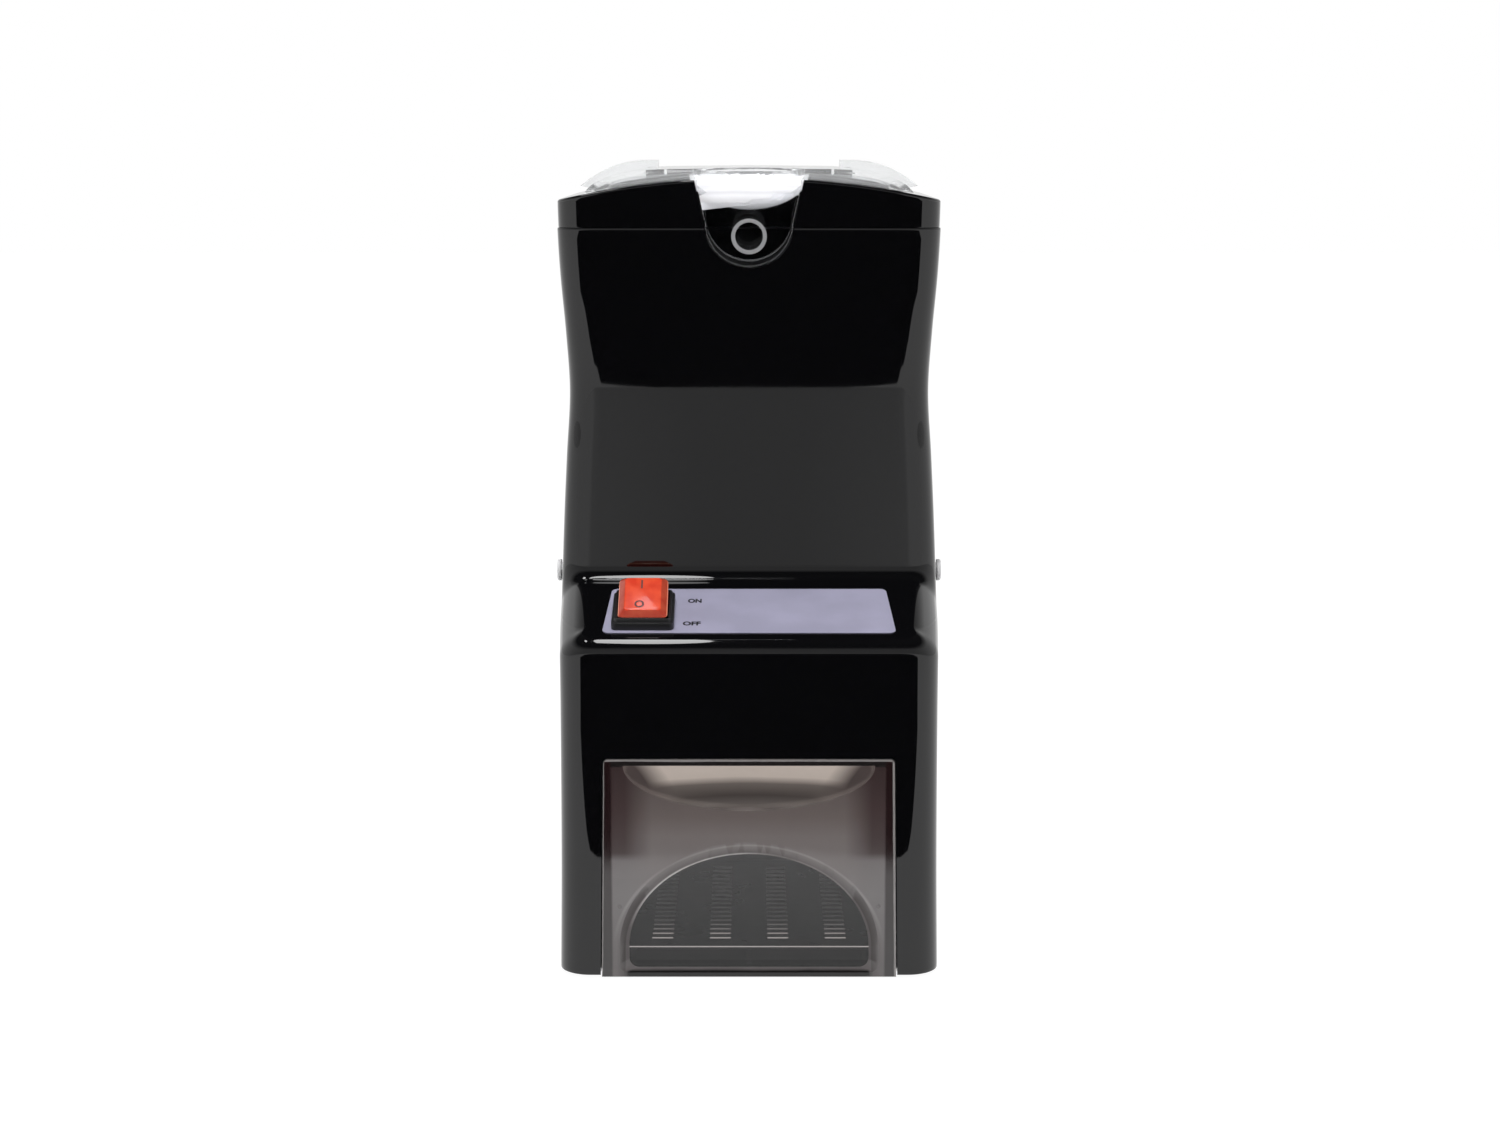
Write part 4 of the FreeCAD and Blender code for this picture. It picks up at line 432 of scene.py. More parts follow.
def mixed(nodes, links, share, first, second):
    """Two colours mixed by a value."""
    mix = nodes.new("ShaderNodeMix")
    mix.data_type = "RGBA"
    links.new(share, mix.inputs["Factor"])
    links.new(first, mix.inputs["A"])
    links.new(second, mix.inputs["B"])
    return mix.outputs["Result"]


STIR_SCALE = 35.0


def place_on_piece(nodes, links, wobble=0.0006):
    """Object coordinates, slightly stirred by noise: how far to the right, and how high."""
    where = nodes.new("ShaderNodeTexCoord")
    stir = nodes.new("ShaderNodeTexNoise")
    stir.inputs["Scale"].default_value = STIR_SCALE
    links.new(where.outputs["Object"], stir.inputs["Vector"])
    push = nodes.new("ShaderNodeVectorMath")
    push.operation = "MULTIPLY_ADD"
    push.inputs[1].default_value = (wobble, wobble, wobble)
    links.new(stir.outputs["Color"], push.inputs[0])
    links.new(where.outputs["Object"], push.inputs[2])
    apart = nodes.new("ShaderNodeSeparateXYZ")
    links.new(push.outputs[0], apart.inputs[0])
    return apart.outputs["X"], apart.outputs["Z"]


print("helpers for changing finishes ready")

# %% The drawer's smoke, painted light and shade
# Where the drawer front's painted light and shade change: the arch, the flanks and side walls, the light
# outline, the painted highlights at the arch's upper left and on its lip, the dark foot, and the scoop's
# sides.
ARCH_HALF, ARCH_SPRING, ARCH_RISE = 61.6, 15.5, 49.4
SMOKE_IOR, CLOUD_SCALE = 1.49, 30.0
DRAWER_RAMP_TOP = 0.118
FLANK, SIDE_WALL = (0.049, 0.063), (0.0692, 0.0704)
OUTLINE_LEAN, OUTLINE, TOP_LINE = 0.0155, (0.0747, 0.0751), (0.1149, 0.1152)
LIT_LEFTWARD, LIT_UPWARD, LIP_UPWARD = (0.012, -0.018), (0.026, 0.046), (0.020, 0.040)
FOOT_DOWNWARD, FOOT_INWARD = (0.0048, 0.0040), (0.0640, 0.0615)
SCOOP_Z, SCOOP_SIDE_SLOPE, SCOOP_SIDE = 112.6, 0.75, (0.0480, 0.0600)


def round_the_arch(nodes, links, across, up):
    """One on the arch's outline, less inside it and more outside."""
    rise = math_of(nodes, links, "MAXIMUM", math_of(nodes, links, "SUBTRACT", up, ARCH_SPRING * MM), 0.0)
    wide = math_of(nodes, links, "POWER", math_of(nodes, links, "DIVIDE", across, ARCH_HALF * MM), 2.0)
    tall = math_of(nodes, links, "POWER", math_of(nodes, links, "DIVIDE", rise, ARCH_RISE * MM), 2.0)
    return math_of(nodes, links, "SQRT", math_of(nodes, links, "ADD", wide, tall))


def grey_band(nodes, links, arch, stops):
    """Shares between 0.9 and 1.3 times the arch's outline; stops are (place, share)."""
    return ramp_of(nodes, links, arch, 0.9, 1.3, [(place, (share,) * 3) for place, share in stops])


def front_color(nodes, links, across, up):
    """The front's colour by height, painted light and shade: a milky face, brightest about mid height and
    darker up to the top bar, redder and darker flanks, dark side walls, and a light outline as a painted
    highlight.
    """
    face = ramp_of(nodes, links, up, 0.0, DRAWER_RAMP_TOP, (
        (0.004, (0.19, 0.175, 0.175)), (0.045, (0.26, 0.24, 0.24)), (0.076, (0.25, 0.22, 0.215)),
        (0.086, (0.20, 0.168, 0.160)), (0.096, (0.17, 0.140, 0.135)), (0.1118, (0.11, 0.090, 0.088)),
        (0.1126, (0.020, 0.017, 0.017)), (0.1160, (0.024, 0.020, 0.020))))
    flank = ramp_of(nodes, links, up, 0.0, DRAWER_RAMP_TOP, (
        (0.004, (0.19, 0.175, 0.175)), (0.045, (0.25, 0.235, 0.235)), (0.063, (0.23, 0.21, 0.21)),
        (0.067, (0.115, 0.090, 0.090)), (0.090, (0.085, 0.058, 0.058)), (0.1118, (0.060, 0.040, 0.040)),
        (0.1126, (0.020, 0.017, 0.017))))
    rim = ramp_of(nodes, links, up, 0.0, DRAWER_RAMP_TOP, (
        (0.010, (0.075, 0.070, 0.070)), (0.055, (0.070, 0.060, 0.060)), (0.066, (0.026, 0.013, 0.014)),
        (0.110, (0.022, 0.010, 0.011))))
    color = mixed(nodes, links, step_between(nodes, links, across, *FLANK), face, flank)
    color = mixed(nodes, links, step_between(nodes, links, across, *SIDE_WALL), color, rim)
    leaning = math_of(nodes, links, "ADD", across, math_of(nodes, links, "MULTIPLY", up, OUTLINE_LEAN))
    outline = math_of(nodes, links, "MAXIMUM", step_between(nodes, links, leaning, *OUTLINE),
                      step_between(nodes, links, up, *TOP_LINE))
    return mixed(nodes, links, outline, color, rgb_of(nodes, (0.36, 0.34, 0.335)))


def drawer_smoke_painted_light():
    """Smoke moulding painted with light and shade: milky in front, redder and darker down its flanks, a
    painted highlight on the arch's edge at its upper left and on the lip above, painted shade just outside
    the arch, and a near-black strip along the foot.
    """
    material, nodes, links, shader = finish("drawer_smoke_painted_light", (0.16, 0.13, 0.125), 0.10, IOR=SMOKE_IOR,
                                            Transmission_Weight=0.20)
    x, up = place_on_piece(nodes, links)
    across = math_of(nodes, links, "ABSOLUTE", x)
    color = front_color(nodes, links, across, up)
    arch = round_the_arch(nodes, links, across, up)
    # Painted highlight: a near-white band on the arch's edge, at its upper left only.
    white = rgb_of(nodes, (0.80, 0.77, 0.76))
    edge = grey_band(nodes, links, arch, ((0.985, 0.0), (0.998, 0.85), (1.014, 0.85), (1.022, 0.0)))
    upper_left = math_of(nodes, links, "MULTIPLY", step_between(nodes, links, x, *LIT_LEFTWARD),
                         step_between(nodes, links, up, *LIT_UPWARD))
    color = mixed(nodes, links, math_of(nodes, links, "MULTIPLY", edge, upper_left), color, white)
    # Painted shade just outside the arch, then a faint painted highlight on the lip above it.
    shade = grey_band(nodes, links, arch, ((1.020, 0.0), (1.030, 0.45), (1.070, 0.22), (1.100, 0.0)))
    color = mixed(nodes, links, shade, color, rgb_of(nodes, (0.06, 0.05, 0.05)))
    lip = grey_band(nodes, links, arch, ((1.100, 0.0), (1.112, 0.14), (1.122, 0.14), (1.136, 0.0)))
    above = step_between(nodes, links, up, *LIP_UPWARD)
    color = mixed(nodes, links, math_of(nodes, links, "MULTIPLY", lip, above), color, white)
    # A near-black strip along the foot, inside the lower corners.
    foot = math_of(nodes, links, "MULTIPLY", step_between(nodes, links, up, *FOOT_DOWNWARD),
                   step_between(nodes, links, across, *FOOT_INWARD))
    color = mixed(nodes, links, foot, color, rgb_of(nodes, (0.012, 0.011, 0.011)))
    links.new(color, shader.inputs["Base Color"])
    cloud = object_noise(nodes, links, CLOUD_SCALE)
    vary_roughness(nodes, links, shader, cloud.outputs["Fac"], 0.06, 0.14)
    return material


def painted_glow(links, shader, color, strength):
    """The colour is scattered, and a share of it shines as emission: painted light, a glow that is no lamp.
    """
    links.new(color, shader.inputs["Base Color"])
    links.new(color, shader.inputs["Emission Color"])
    shader.inputs["Emission Strength"].default_value = strength


def scoop_painted_light():
    """The scooped grip, painted light and shade with a glow: brightest in its upper part, a dark band lower
    down with a light line at its lower edge, darker towards its sides.
    """
    material, nodes, links, shader = finish("scoop_painted_light", (0.3, 0.27, 0.25), 0.12, IOR=SMOKE_IOR)
    x, up = place_on_piece(nodes, links, 0.0010)
    across = math_of(nodes, links, "ABSOLUTE", x)
    deep = ramp_of(nodes, links, up, 0.086, 0.114, (
        (0.0888, (0.13, 0.115, 0.11)), (0.0902, (0.060, 0.051, 0.049)), (0.0915, (0.078, 0.068, 0.064)),
        (0.0942, (0.055, 0.046, 0.043)), (0.0990, (0.12, 0.103, 0.094)), (0.1008, (0.30, 0.258, 0.232)),
        (0.1022, (0.43, 0.375, 0.335)), (0.1080, (0.46, 0.40, 0.36))))
    edge = ramp_of(nodes, links, up, 0.086, 0.114, (
        (0.0888, (0.13, 0.115, 0.11)), (0.0960, (0.060, 0.048, 0.046)), (0.1100, (0.062, 0.048, 0.046))))
    below_top = math_of(nodes, links, "SUBTRACT", SCOOP_Z * MM, up)
    lower = math_of(nodes, links, "MULTIPLY", below_top, SCOOP_SIDE_SLOPE)
    side = step_between(nodes, links, math_of(nodes, links, "ADD", across, lower), *SCOOP_SIDE)
    painted_glow(links, shader, mixed(nodes, links, side, deep, edge), 0.70)
    cloud = object_noise(nodes, links, CLOUD_SCALE)
    vary_roughness(nodes, links, shader, cloud.outputs["Fac"], 0.08, 0.16)
    return material


def pane_smoke():
    """The thin pane of the arch: clear smoke, a little darker towards its foot."""
    material, nodes, links, shader = finish("smoke_pane", (0.5, 0.49, 0.5), 0.02, IOR=SMOKE_IOR,
                                            Transmission_Weight=1.0)
    up = place_on_piece(nodes, links)[1]
    tint = ramp_of(nodes, links, up, 0.0, 0.07, (
        (0.012, (0.17, 0.165, 0.17)), (0.030, (0.36, 0.355, 0.36)), (0.062, (0.66, 0.65, 0.66))))
    links.new(tint, shader.inputs["Base Color"])
    return material


print("drawer's smoke ready")

# %% The lid's bowl and the slots' walls, glowing with painted light, and two lit mouldings
SLOT_RIM_LOW, SLOT_RIM_TOP = 0.0008, 0.0005


def bowl_painted_glow():
    """The finger bowl, frosted, with painted light: an emission in bands, whitest at its rim and fading
    towards its floor.
    """
    material, nodes, links, shader = finish("frosted_bowl_painted_glow", (0.94, 0.94, 0.96), 0.10, IOR=1.45,
                                            Transmission_Weight=0.30)
    up = place_on_piece(nodes, links, 0.0022)[1]
    light = ramp_of(nodes, links, up, 0.388, 0.410, (
        (0.3905, (0.02,) * 3), (0.3945, (0.20,) * 3), (0.3985, (0.75, 0.75, 0.78)),
        (0.4000, (0.35, 0.35, 0.37)), (0.4015, (0.85, 0.85, 0.88)), (0.4040, (0.55, 0.55, 0.58)),
        (0.4060, (0.95,) * 3)))
    links.new(light, shader.inputs["Emission Color"])
    shader.inputs["Emission Strength"].default_value = 0.32
    return material


def slot_painted_glint():
    """A painted glint along the top half millimetre of the slots' far walls: a glow, light on the front rows
    and dimmer behind.
    """
    material, nodes, links, shader = finish("slot_edge_painted_glint", (0.6, 0.55, 0.52), 0.4)
    where = nodes.new("ShaderNodeTexCoord")
    apart = nodes.new("ShaderNodeSeparateXYZ")
    links.new(where.outputs["Object"], apart.inputs[0])
    fade = ramp_of(nodes, links, apart.outputs["Y"], -0.125, 0.0, (
        (-0.114, (0.95, 0.90, 0.86)), (-0.098, (0.60, 0.56, 0.53)), (-0.086, (0.20, 0.185, 0.18)),
        (-0.068, (0.030, 0.028, 0.028)), (-0.010, (0.012, 0.011, 0.011))))
    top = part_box("drip_grid")[1][2]
    rim = step_between(nodes, links, apart.outputs["Z"], top - SLOT_RIM_LOW, top - SLOT_RIM_TOP)
    painted_glow(links, shader, mixed(nodes, links, rim, rgb_of(nodes, (0.010, 0.009, 0.009)), fade), 1.7)
    return material


def smoke_plastic(name, color, roughness, share, painted_glow_strength=0.0):
    """A thin edge that scatters light, lets a share through and glows with its own colour as painted light,
    for painted highlights on edges.
    """
    material, nodes, links, shader = finish(name, color, roughness, IOR=SMOKE_IOR, Transmission_Weight=share,
                                            Emission_Color=(*color, 1.0), Emission_Strength=painted_glow_strength)
    cloud = object_noise(nodes, links, CLOUD_SCALE, 3.0, (1.0, 1.0, 0.5))
    dark = tuple(c * 0.86 for c in color)
    vary_color(nodes, links, shader, cloud.outputs["Fac"], dark, color)
    vary_roughness(nodes, links, shader, cloud.outputs["Fac"], roughness * 0.6, roughness * 1.4)
    return material


def lit_plastic(name, color, roughness):
    """Bright moulding under a clear gloss: the colour scatters, the coat mirrors."""
    material, nodes, links, shader = finish(name, color, roughness, Transmission_Weight=0.12, IOR=1.45,
                                            Coat_Weight=0.15, Coat_Roughness=0.05, Specular_IOR_Level=0.25)
    cloud = object_noise(nodes, links, 160.0, 2.0)
    deep = (color[0] * 0.86, color[1] * 0.62, color[2] * 0.7)
    vary_color(nodes, links, shader, cloud.outputs["Fac"], deep, color)
    vary_roughness(nodes, links, shader, cloud.outputs["Fac"], roughness, roughness + 0.05)
    return material


print("bowl, slots and lit mouldings ready")

# %% The set of finishes
# Several finishes here carry painted light: the lid's glowing ring and rim finishes, the bowl's glow, the
# drawer's colours, scoop and outer edge, the slots' glint, and the rocker's lighter edge; the rocker's
# darker slope finish is painted shade.
FINISHES = {
    "gloss_black": gloss_black(),
    "clear_lid": clear_plastic("clear_lid", (0.97, 0.98, 0.985), 0.008, 1.40, 0.78),
    "clear_tongue": clear_plastic("clear_tongue", (0.97, 0.98, 0.985), 0.008, 1.38),
    "clear_rim_painted_light": smoke_plastic("clear_rim_painted_light", (0.80, 0.80, 0.82), 0.08, 0.60, 0.09),
    "rim_painted_highlight": smoke_plastic("rim_painted_highlight", (0.80, 0.80, 0.82), 0.08, 0.30, 1.60),
    "frosted_bowl_painted_glow": bowl_painted_glow(),
    "plug_grey": plastic("plug_grey", (0.90, 0.90, 0.91), 0.40),
    "smoke_drawer": drawer_smoke_painted_light(),
    "scoop_painted_light": scoop_painted_light(),
    "smoke_edge_painted_highlight": smoke_plastic("smoke_edge_painted_highlight", (0.62, 0.58, 0.57), 0.08, 0.05, 0.30),
    "smoke_pane": pane_smoke(),
    "slot_edge_painted_glint": slot_painted_glint(),
    "grid_clear": plastic("grid_clear", (0.075, 0.073, 0.076), 0.30, grain=120.0, depth=0.01),
    "label_grey": plastic("label_grey", (0.385, 0.375, 0.50), 0.38, 0.03, 2500.0, 0.05),
    "switch_black": plastic("switch_black", (0.018, 0.018, 0.019), 0.34, 0.05, 2200.0, 0.12),
    "rocker_orange": lit_plastic("rocker_orange", (0.86, 0.085, 0.030), 0.22),
    "rocker_slope_painted_shade": lit_plastic("rocker_slope_painted_shade", (0.56, 0.085, 0.042), 0.14),
    "rocker_edge_painted_highlight": smoke_plastic("rocker_edge_painted_highlight", (1.0, 0.34, 0.20), 0.10, 0.05, 0.22),
    "print_black": plastic("print_black", (0.004, 0.004, 0.005), 0.5),
    "rocker_mark": plastic("rocker_mark", (0.045, 0.004, 0.004), 0.35),
    "white_abs": plastic("white_abs", (0.80, 0.80, 0.77), 0.42),
    "grey_abs": plastic("grey_abs", (0.11, 0.11, 0.115), 0.40),
    "black_abs": plastic("black_abs", (0.012, 0.012, 0.013), 0.42, 0.06, 1500.0, 0.25),
    "rubber": plastic("rubber", (0.016, 0.016, 0.016), 0.85, 0.05, 1800.0, 0.30),
    "steel": metal("steel", (0.52, 0.52, 0.53), 0.28, (1.0, 12.0, 12.0)),
    "zinc_steel": metal("zinc_steel", (0.60, 0.60, 0.58), 0.34),
    "chrome_pin": metal("chrome_pin", (0.72, 0.72, 0.74), 0.12, depth=0.03),
    "bronze": metal("bronze", (0.42, 0.27, 0.10), 0.38, scale=1400.0, depth=0.25),
    "nylon": plastic("nylon", (0.74, 0.70, 0.58), 0.45),
    "motor_paint": plastic("motor_paint", (0.020, 0.020, 0.022), 0.36, 0.06, 700.0, 0.2),
    "cast_alloy": metal("cast_alloy", (0.50, 0.51, 0.52), 0.48, scale=900.0, depth=0.3),
}


def paint(obj, slot_name):
    obj.data.materials.clear()
    obj.data.materials.append(FINISHES[slot_name])


slot_of = {part["node"]: part["material_slot"] for part in frame["record"]["subparts"]}
for node_name, node in frame["nodes"].items():
    paint(node, slot_of[node_name])
print("finishes:", len(FINISHES), "on", len(slot_of), "nodes")

# %% [markdown]
# ## The housing's form as a function
#
# The housing is one tall gloss moulding: a deep base whose front carries the
# drawer, a sloping shelf with the switch, and a waisted column above it. Such
# a form can be pushed out of a cube by hand, but gloss black shows every ripple,
# so its surface is written down instead: `form` is negative inside, positive
# outside and zero on the skin. The rounding between two faces is exact,
# because each is a distance, and two distances can be blended with a radius.

# %% Outline of the sides
FRONT, BACK = -125.0, 125.0
SEAM_Z, CROWN_Z, CROWN_R = 380.5, 406.2, 443.0
SHELF_Z, SHELF_TILT = 176.3, math.radians(15.2)
WALL_Y, DRAWER_FACE_IN = -50.0, 0.3
CORNER_R, SHELF_FILLET, FRONT_EDGE_R, SIDE_EDGE_R = 15.0, 6.0, 6.0, 14.0
SIDE_HEIGHTS = np.array((2.0, 60.1, 137.0, 189.9, 224.9, 259.9, 294.1, 324.9, 355.0, 380.5, 416.0))
SIDE_HALVES = np.array((101.3, 100.4, 100.0, 99.9, 98.7, 96.9, 94.9, 96.5, 98.9, 100.0, 100.4))
LEAN_HEIGHTS = np.array((203.0, 290.0, 340.0, 380.5, 400.0, 424.0))
LEANS = np.array((0.0, 3.0, 0.5, -6.5, -10.5, -13.0))
WALL_FOOT_SLOPE = 0.06
BOW_IN, BOW_OUT, BOW_REACH, BOW_PULL = 3.6, 1.0, 75.0, 1.4


def curve_through(z, heights, values, first_slope=None):
    """A smooth curve through points: a cubic between each pair, slopes from the neighbours."""
    slopes = np.gradient(values, heights)
    slopes[1:-1] = (values[2:] - values[:-2]) / (heights[2:] - heights[:-2])
    if first_slope is not None:
        slopes[0] = first_slope
    place = np.clip(np.searchsorted(heights, z) - 1, 0, len(heights) - 2)
    step = heights[place + 1] - heights[place]
    t = np.clip((z - heights[place]) / step, 0.0, 1.0)
    low, high = values[place], values[place + 1]
    curve = low * (1 + 2 * t) * (1 - t) ** 2 + high * t * t * (3 - 2 * t)
    return curve + step * (slopes[place] * t * (1 - t) ** 2 - slopes[place + 1] * t * t * (1 - t))


def side_bow_table():
    """The side wall seen from above: narrower at the front, bowed, parallel at the back."""
    lean = math.atan(1.5 * BOW_IN / BOW_REACH)
    start = np.array((-BOW_IN - CORNER_R + CORNER_R * math.cos(lean),
                      FRONT + CORNER_R - CORNER_R * math.sin(lean)))
    end = np.array((BOW_OUT, BACK - CORNER_R))
    reach = (end[1] - start[1]) / 3
    leaving = start + reach * np.array((math.sin(lean), math.cos(lean)))
    arriving = end - (0, BOW_PULL * reach)
    t = np.linspace(0, 1, 65)[:, None]
    curve = ((1 - t) ** 3 * start + 3 * t * (1 - t) ** 2 * leaving
             + 3 * t * t * (1 - t) * arriving + t ** 3 * end)
    return curve[:, 1], curve[:, 0], math.tan(lean)


BOW_Y, BOW_X, BOW_LEAN = side_bow_table()


def half_width(y, z):
    bow = np.interp(y, BOW_Y, BOW_X) + np.minimum(y - BOW_Y[0], 0.0) * BOW_LEAN
    return curve_through(z, SIDE_HEIGHTS, SIDE_HALVES) + bow


def wall_lean(z):
    return curve_through(z, LEAN_HEIGHTS, LEANS, WALL_FOOT_SLOPE)


print("half width at the waist:", round(float(half_width(np.array(-35.0), np.array(292.0))), 2), "mm")

# %% The form
def round_inside(a, b, radius):
    """Where two faces meet on the outside, rounded with a radius."""
    u = np.maximum(a + radius, 0.0)
    v = np.maximum(b + radius, 0.0)
    return np.minimum(-radius, np.maximum(a, b)) + np.hypot(u, v)


def round_hollow(a, b, radius):
    """Where two faces meet in a hollow corner, filled with a radius."""
    u = np.maximum(radius - a, 0.0)
    v = np.maximum(radius - b, 0.0)
    return np.maximum(radius, np.minimum(a, b)) - np.hypot(u, v)


def edge_radius(x, y, z):
    """Small along the shelf's front edge, large along its sides and up the column."""
    right = np.abs(x) - (half_width(y, z) - CORNER_R)
    ahead = (FRONT + CORNER_R) - y
    turn = np.arctan2(np.maximum(right, 0.0), np.maximum(ahead, 1e-6)) / (math.pi / 2)
    turn = np.where(ahead <= 0, 1.0, turn)
    ease = turn * turn * (3 - 2 * turn)
    return FRONT_EDGE_R + (SIDE_EDGE_R - FRONT_EDGE_R) * ease


def form(x, y, z):
    side = np.abs(x) - half_width(y, z)
    ends = np.maximum(FRONT - y, y - BACK)
    plan = round_inside(side, ends, CORNER_R)
    shelf = (z - SHELF_Z - math.tan(SHELF_TILT) * (y - FRONT)) * math.cos(SHELF_TILT)
    column = WALL_Y + wall_lean(z) - y
    front = round_hollow(shelf, column, SHELF_FILLET)
    return round_inside(plan, front, edge_radius(x, y, z))


# %% [markdown]
# ## Loops of points on the skin
#
# From a centre line inside the body a fan of rays is sent out, and each ray is
# halved again and again until its end lies on the skin. The dense loop is then
# thinned to a fixed count, with more points where it turns, so that the loops
# of neighbouring heights line up into clean quads. Metaballs or a voxel remesh
# could also turn a form into a skin, but their faces step over it in no order,
# and gloss shows each step.

# %% Fans and loops
CENTRE_Y = 32.0
HALF_COUNT = 112
RAY_LONG, HALVINGS = 240.0, 34
DENSE_RAYS, AVERAGED_OVER, TURN_WEIGHT = 1601, 9, 34.0


def on_skin(angles, height, inset):
    """Points of the skin along rays at these angles; height and inset may vary by ray."""
    sine, cosine = np.sin(angles), np.cos(angles)
    near = np.zeros(np.broadcast(angles, inset).shape)
    far = near + RAY_LONG
    for _ in range(HALVINGS):
        reach = (near + far) / 2
        x = reach * sine
        y = CENTRE_Y - reach * cosine
        inside = form(x, y, height(x, y)) < -inset
        near = np.where(inside, reach, near)
        far = np.where(inside, far, reach)
    x, y = near * sine, CENTRE_Y - near * cosine
    return x, y, height(x, y)


def thinned_angles(height, inset):
    """Ray angles of a half loop, front to back, closer where the loop turns."""
    dense = np.linspace(0.0, math.pi, DENSE_RAYS)
    x, y, _ = on_skin(dense, height, inset)
    dx, dy = np.diff(x), np.diff(y)
    length = np.hypot(dx, dy)
    heading = np.unwrap(np.arctan2(dy, dx))
    turning = np.abs(np.gradient(heading))
    turning = np.convolve(turning, np.ones(AVERAGED_OVER) / AVERAGED_OVER, mode="same")
    weight = np.concatenate(((0.0,), np.cumsum(length + TURN_WEIGHT * turning)))
    return np.interp(np.linspace(0.0, weight[-1], HALF_COUNT + 1), weight, dense)


def whole_loop(x, y, z):
    """Mirror a half loop into a whole one that ends where it starts."""
    return np.concatenate((np.stack((x, y, z), -1), np.stack((-x, y, z), -1)[-2::-1]))


def level_loop(z, inset=0.0):
    def height(x, y):
        return np.full(np.shape(x), float(z))
    angles = thinned_angles(height, inset)
    return whole_loop(*on_skin(angles, height, inset))


def grid_of(rows, name):
    """A grid primitive whose rows take an array of points; rows that meet are merged."""
    nothing_selected()
    bpy.ops.mesh.primitive_grid_add(x_subdivisions=rows.shape[1] - 1, y_subdivisions=rows.shape[0] - 1,
                                    size=1.0)
    obj = bpy.context.object
    place_all(obj, rows.reshape(-1, 3))
    obj.name = name
    return tidy_mesh(obj, DOUBLES)


def wrapped_grid(loops, name):
    """A closed skin of loops, whose last row meets the first."""
    return grid_of(np.stack(list(loops) + [loops[0]]), name)


middle_loop = level_loop(100.0)
print("points in a loop:", len(middle_loop), "widest", round(float(middle_loop[:, 0].max()), 2))

# %% [markdown]
# ## The housing
#
# The real housing is injection moulded, 3 mm thick, and open at the bottom.
# Its outer loops run from the foot to the seam, close together where the shelf
# bends, then the inner loops run back down, three millimetres in. The drawer
# opening, the thumb pocket under the lid's tongue, the switch hole and the
# rear recess are cut afterwards, which keeps the skin round them untouched. A
# Solidify modifier could give the wall, but the form itself knows where three
# millimetres in lies, also in the tight bends where Solidify would fold.

# %% Housing skin
WALL = 3.0
EDGE_IN = 0.4
OUTER_RUNS = ((13.0, 160.0, 6.0), (161.0, 170.0, 1.0), (170.0, 178.0, 0.4), (178.0, 195.0, 0.62),
              (195.0, 206.0, 0.5), (207.0, 214.0, 1.5), (216.0, 378.0, 3.6))
INNER_RUNS = ((376.0, 212.0, -9.0), (206.0, 168.0, -2.4), (164.0, 8.0, -16.0))


def heights_of(runs):
    """Heights in runs of (start, end, step), one after the other."""
    return np.concatenate([np.arange(*run) for run in runs])


housing_loops = [level_loop(2.0, 0.5), level_loop(2.15, 0.15)]
housing_loops += [level_loop(z) for z in (2.6, 4.5, 8.0, *heights_of(OUTER_RUNS), 379.3)]
housing_loops += [level_loop(380.0, 0.05), level_loop(380.35, 0.2), level_loop(SEAM_Z, 0.5)]
housing_loops += [level_loop(SEAM_Z, WALL - EDGE_IN), level_loop(380.1, WALL)]
housing_loops += [level_loop(z, WALL) for z in heights_of(INNER_RUNS)]
housing_loops += [level_loop(3.0, WALL), level_loop(2.0, WALL - EDGE_IN)]
housing = wrapped_grid(housing_loops, "gloss_housing")
print("housing skin:", len(housing.data.polygons), "faces")

# %% The drawer's outline and the tongue's
DRAWER_TOP_Z, DRAWER_TOP_HALF, DRAWER_LOW_HALF = 115.9, 73.9, 75.7
DRAWER_GAP, DRAWER_CUT_DEEP = 0.6, 13.0
TONGUE_TOP_HALF, TONGUE_TOP_Z, TONGUE_R, TONGUE_LOW_Z = 27.7, 407.0, 22.5, 360.3
TONGUE_CENTRE_Z = TONGUE_LOW_Z + TONGUE_R
TONGUE_GAP, POCKET_DEPTH = 0.9, 9.0
FAR_OUT, FAR_UP = -30.0, 430.0


def drawer_outline(gap, y, low_z=-3.0, corner=2.5):
    """The drawer's front outline grown by a gap, at a depth."""
    top, low, high = DRAWER_TOP_HALF + gap, DRAWER_LOW_HALF + gap, DRAWER_TOP_Z + gap
    right = arc_points((top - corner, high - corner), corner, 0.0, 90.0, 6)
    half = [(low, low_z)] + right
    return [(x, y, z) for x, z in half] + [(-x, y, z) for x, z in reversed(half)]


def tongue_half(z, grow):
    """Half width of the tongue's U at a height, grown all round."""
    radius, up = TONGUE_R + grow, z - TONGUE_CENTRE_Z
    straight = radius + up * (TONGUE_TOP_HALF - TONGUE_R) / (TONGUE_TOP_Z - TONGUE_CENTRE_Z)
    return np.where(up > 0.0, straight, np.sqrt(np.maximum(radius ** 2 - up ** 2, 0.0)))


def stacked(loops, name):
    """A solid from a stack of equal loops, its ends filled."""
    obj = grid_of(np.stack([np.concatenate((loop, loop[:1])) for loop in loops]), name)
    bpy.ops.object.mode_set(mode="EDIT")
    bpy.ops.mesh.select_all(action="SELECT")
    bpy.ops.mesh.fill_holes(sides=0)
    bpy.ops.mesh.normals_make_consistent(inside=False)
    bpy.ops.object.mode_set(mode="OBJECT")
    return obj


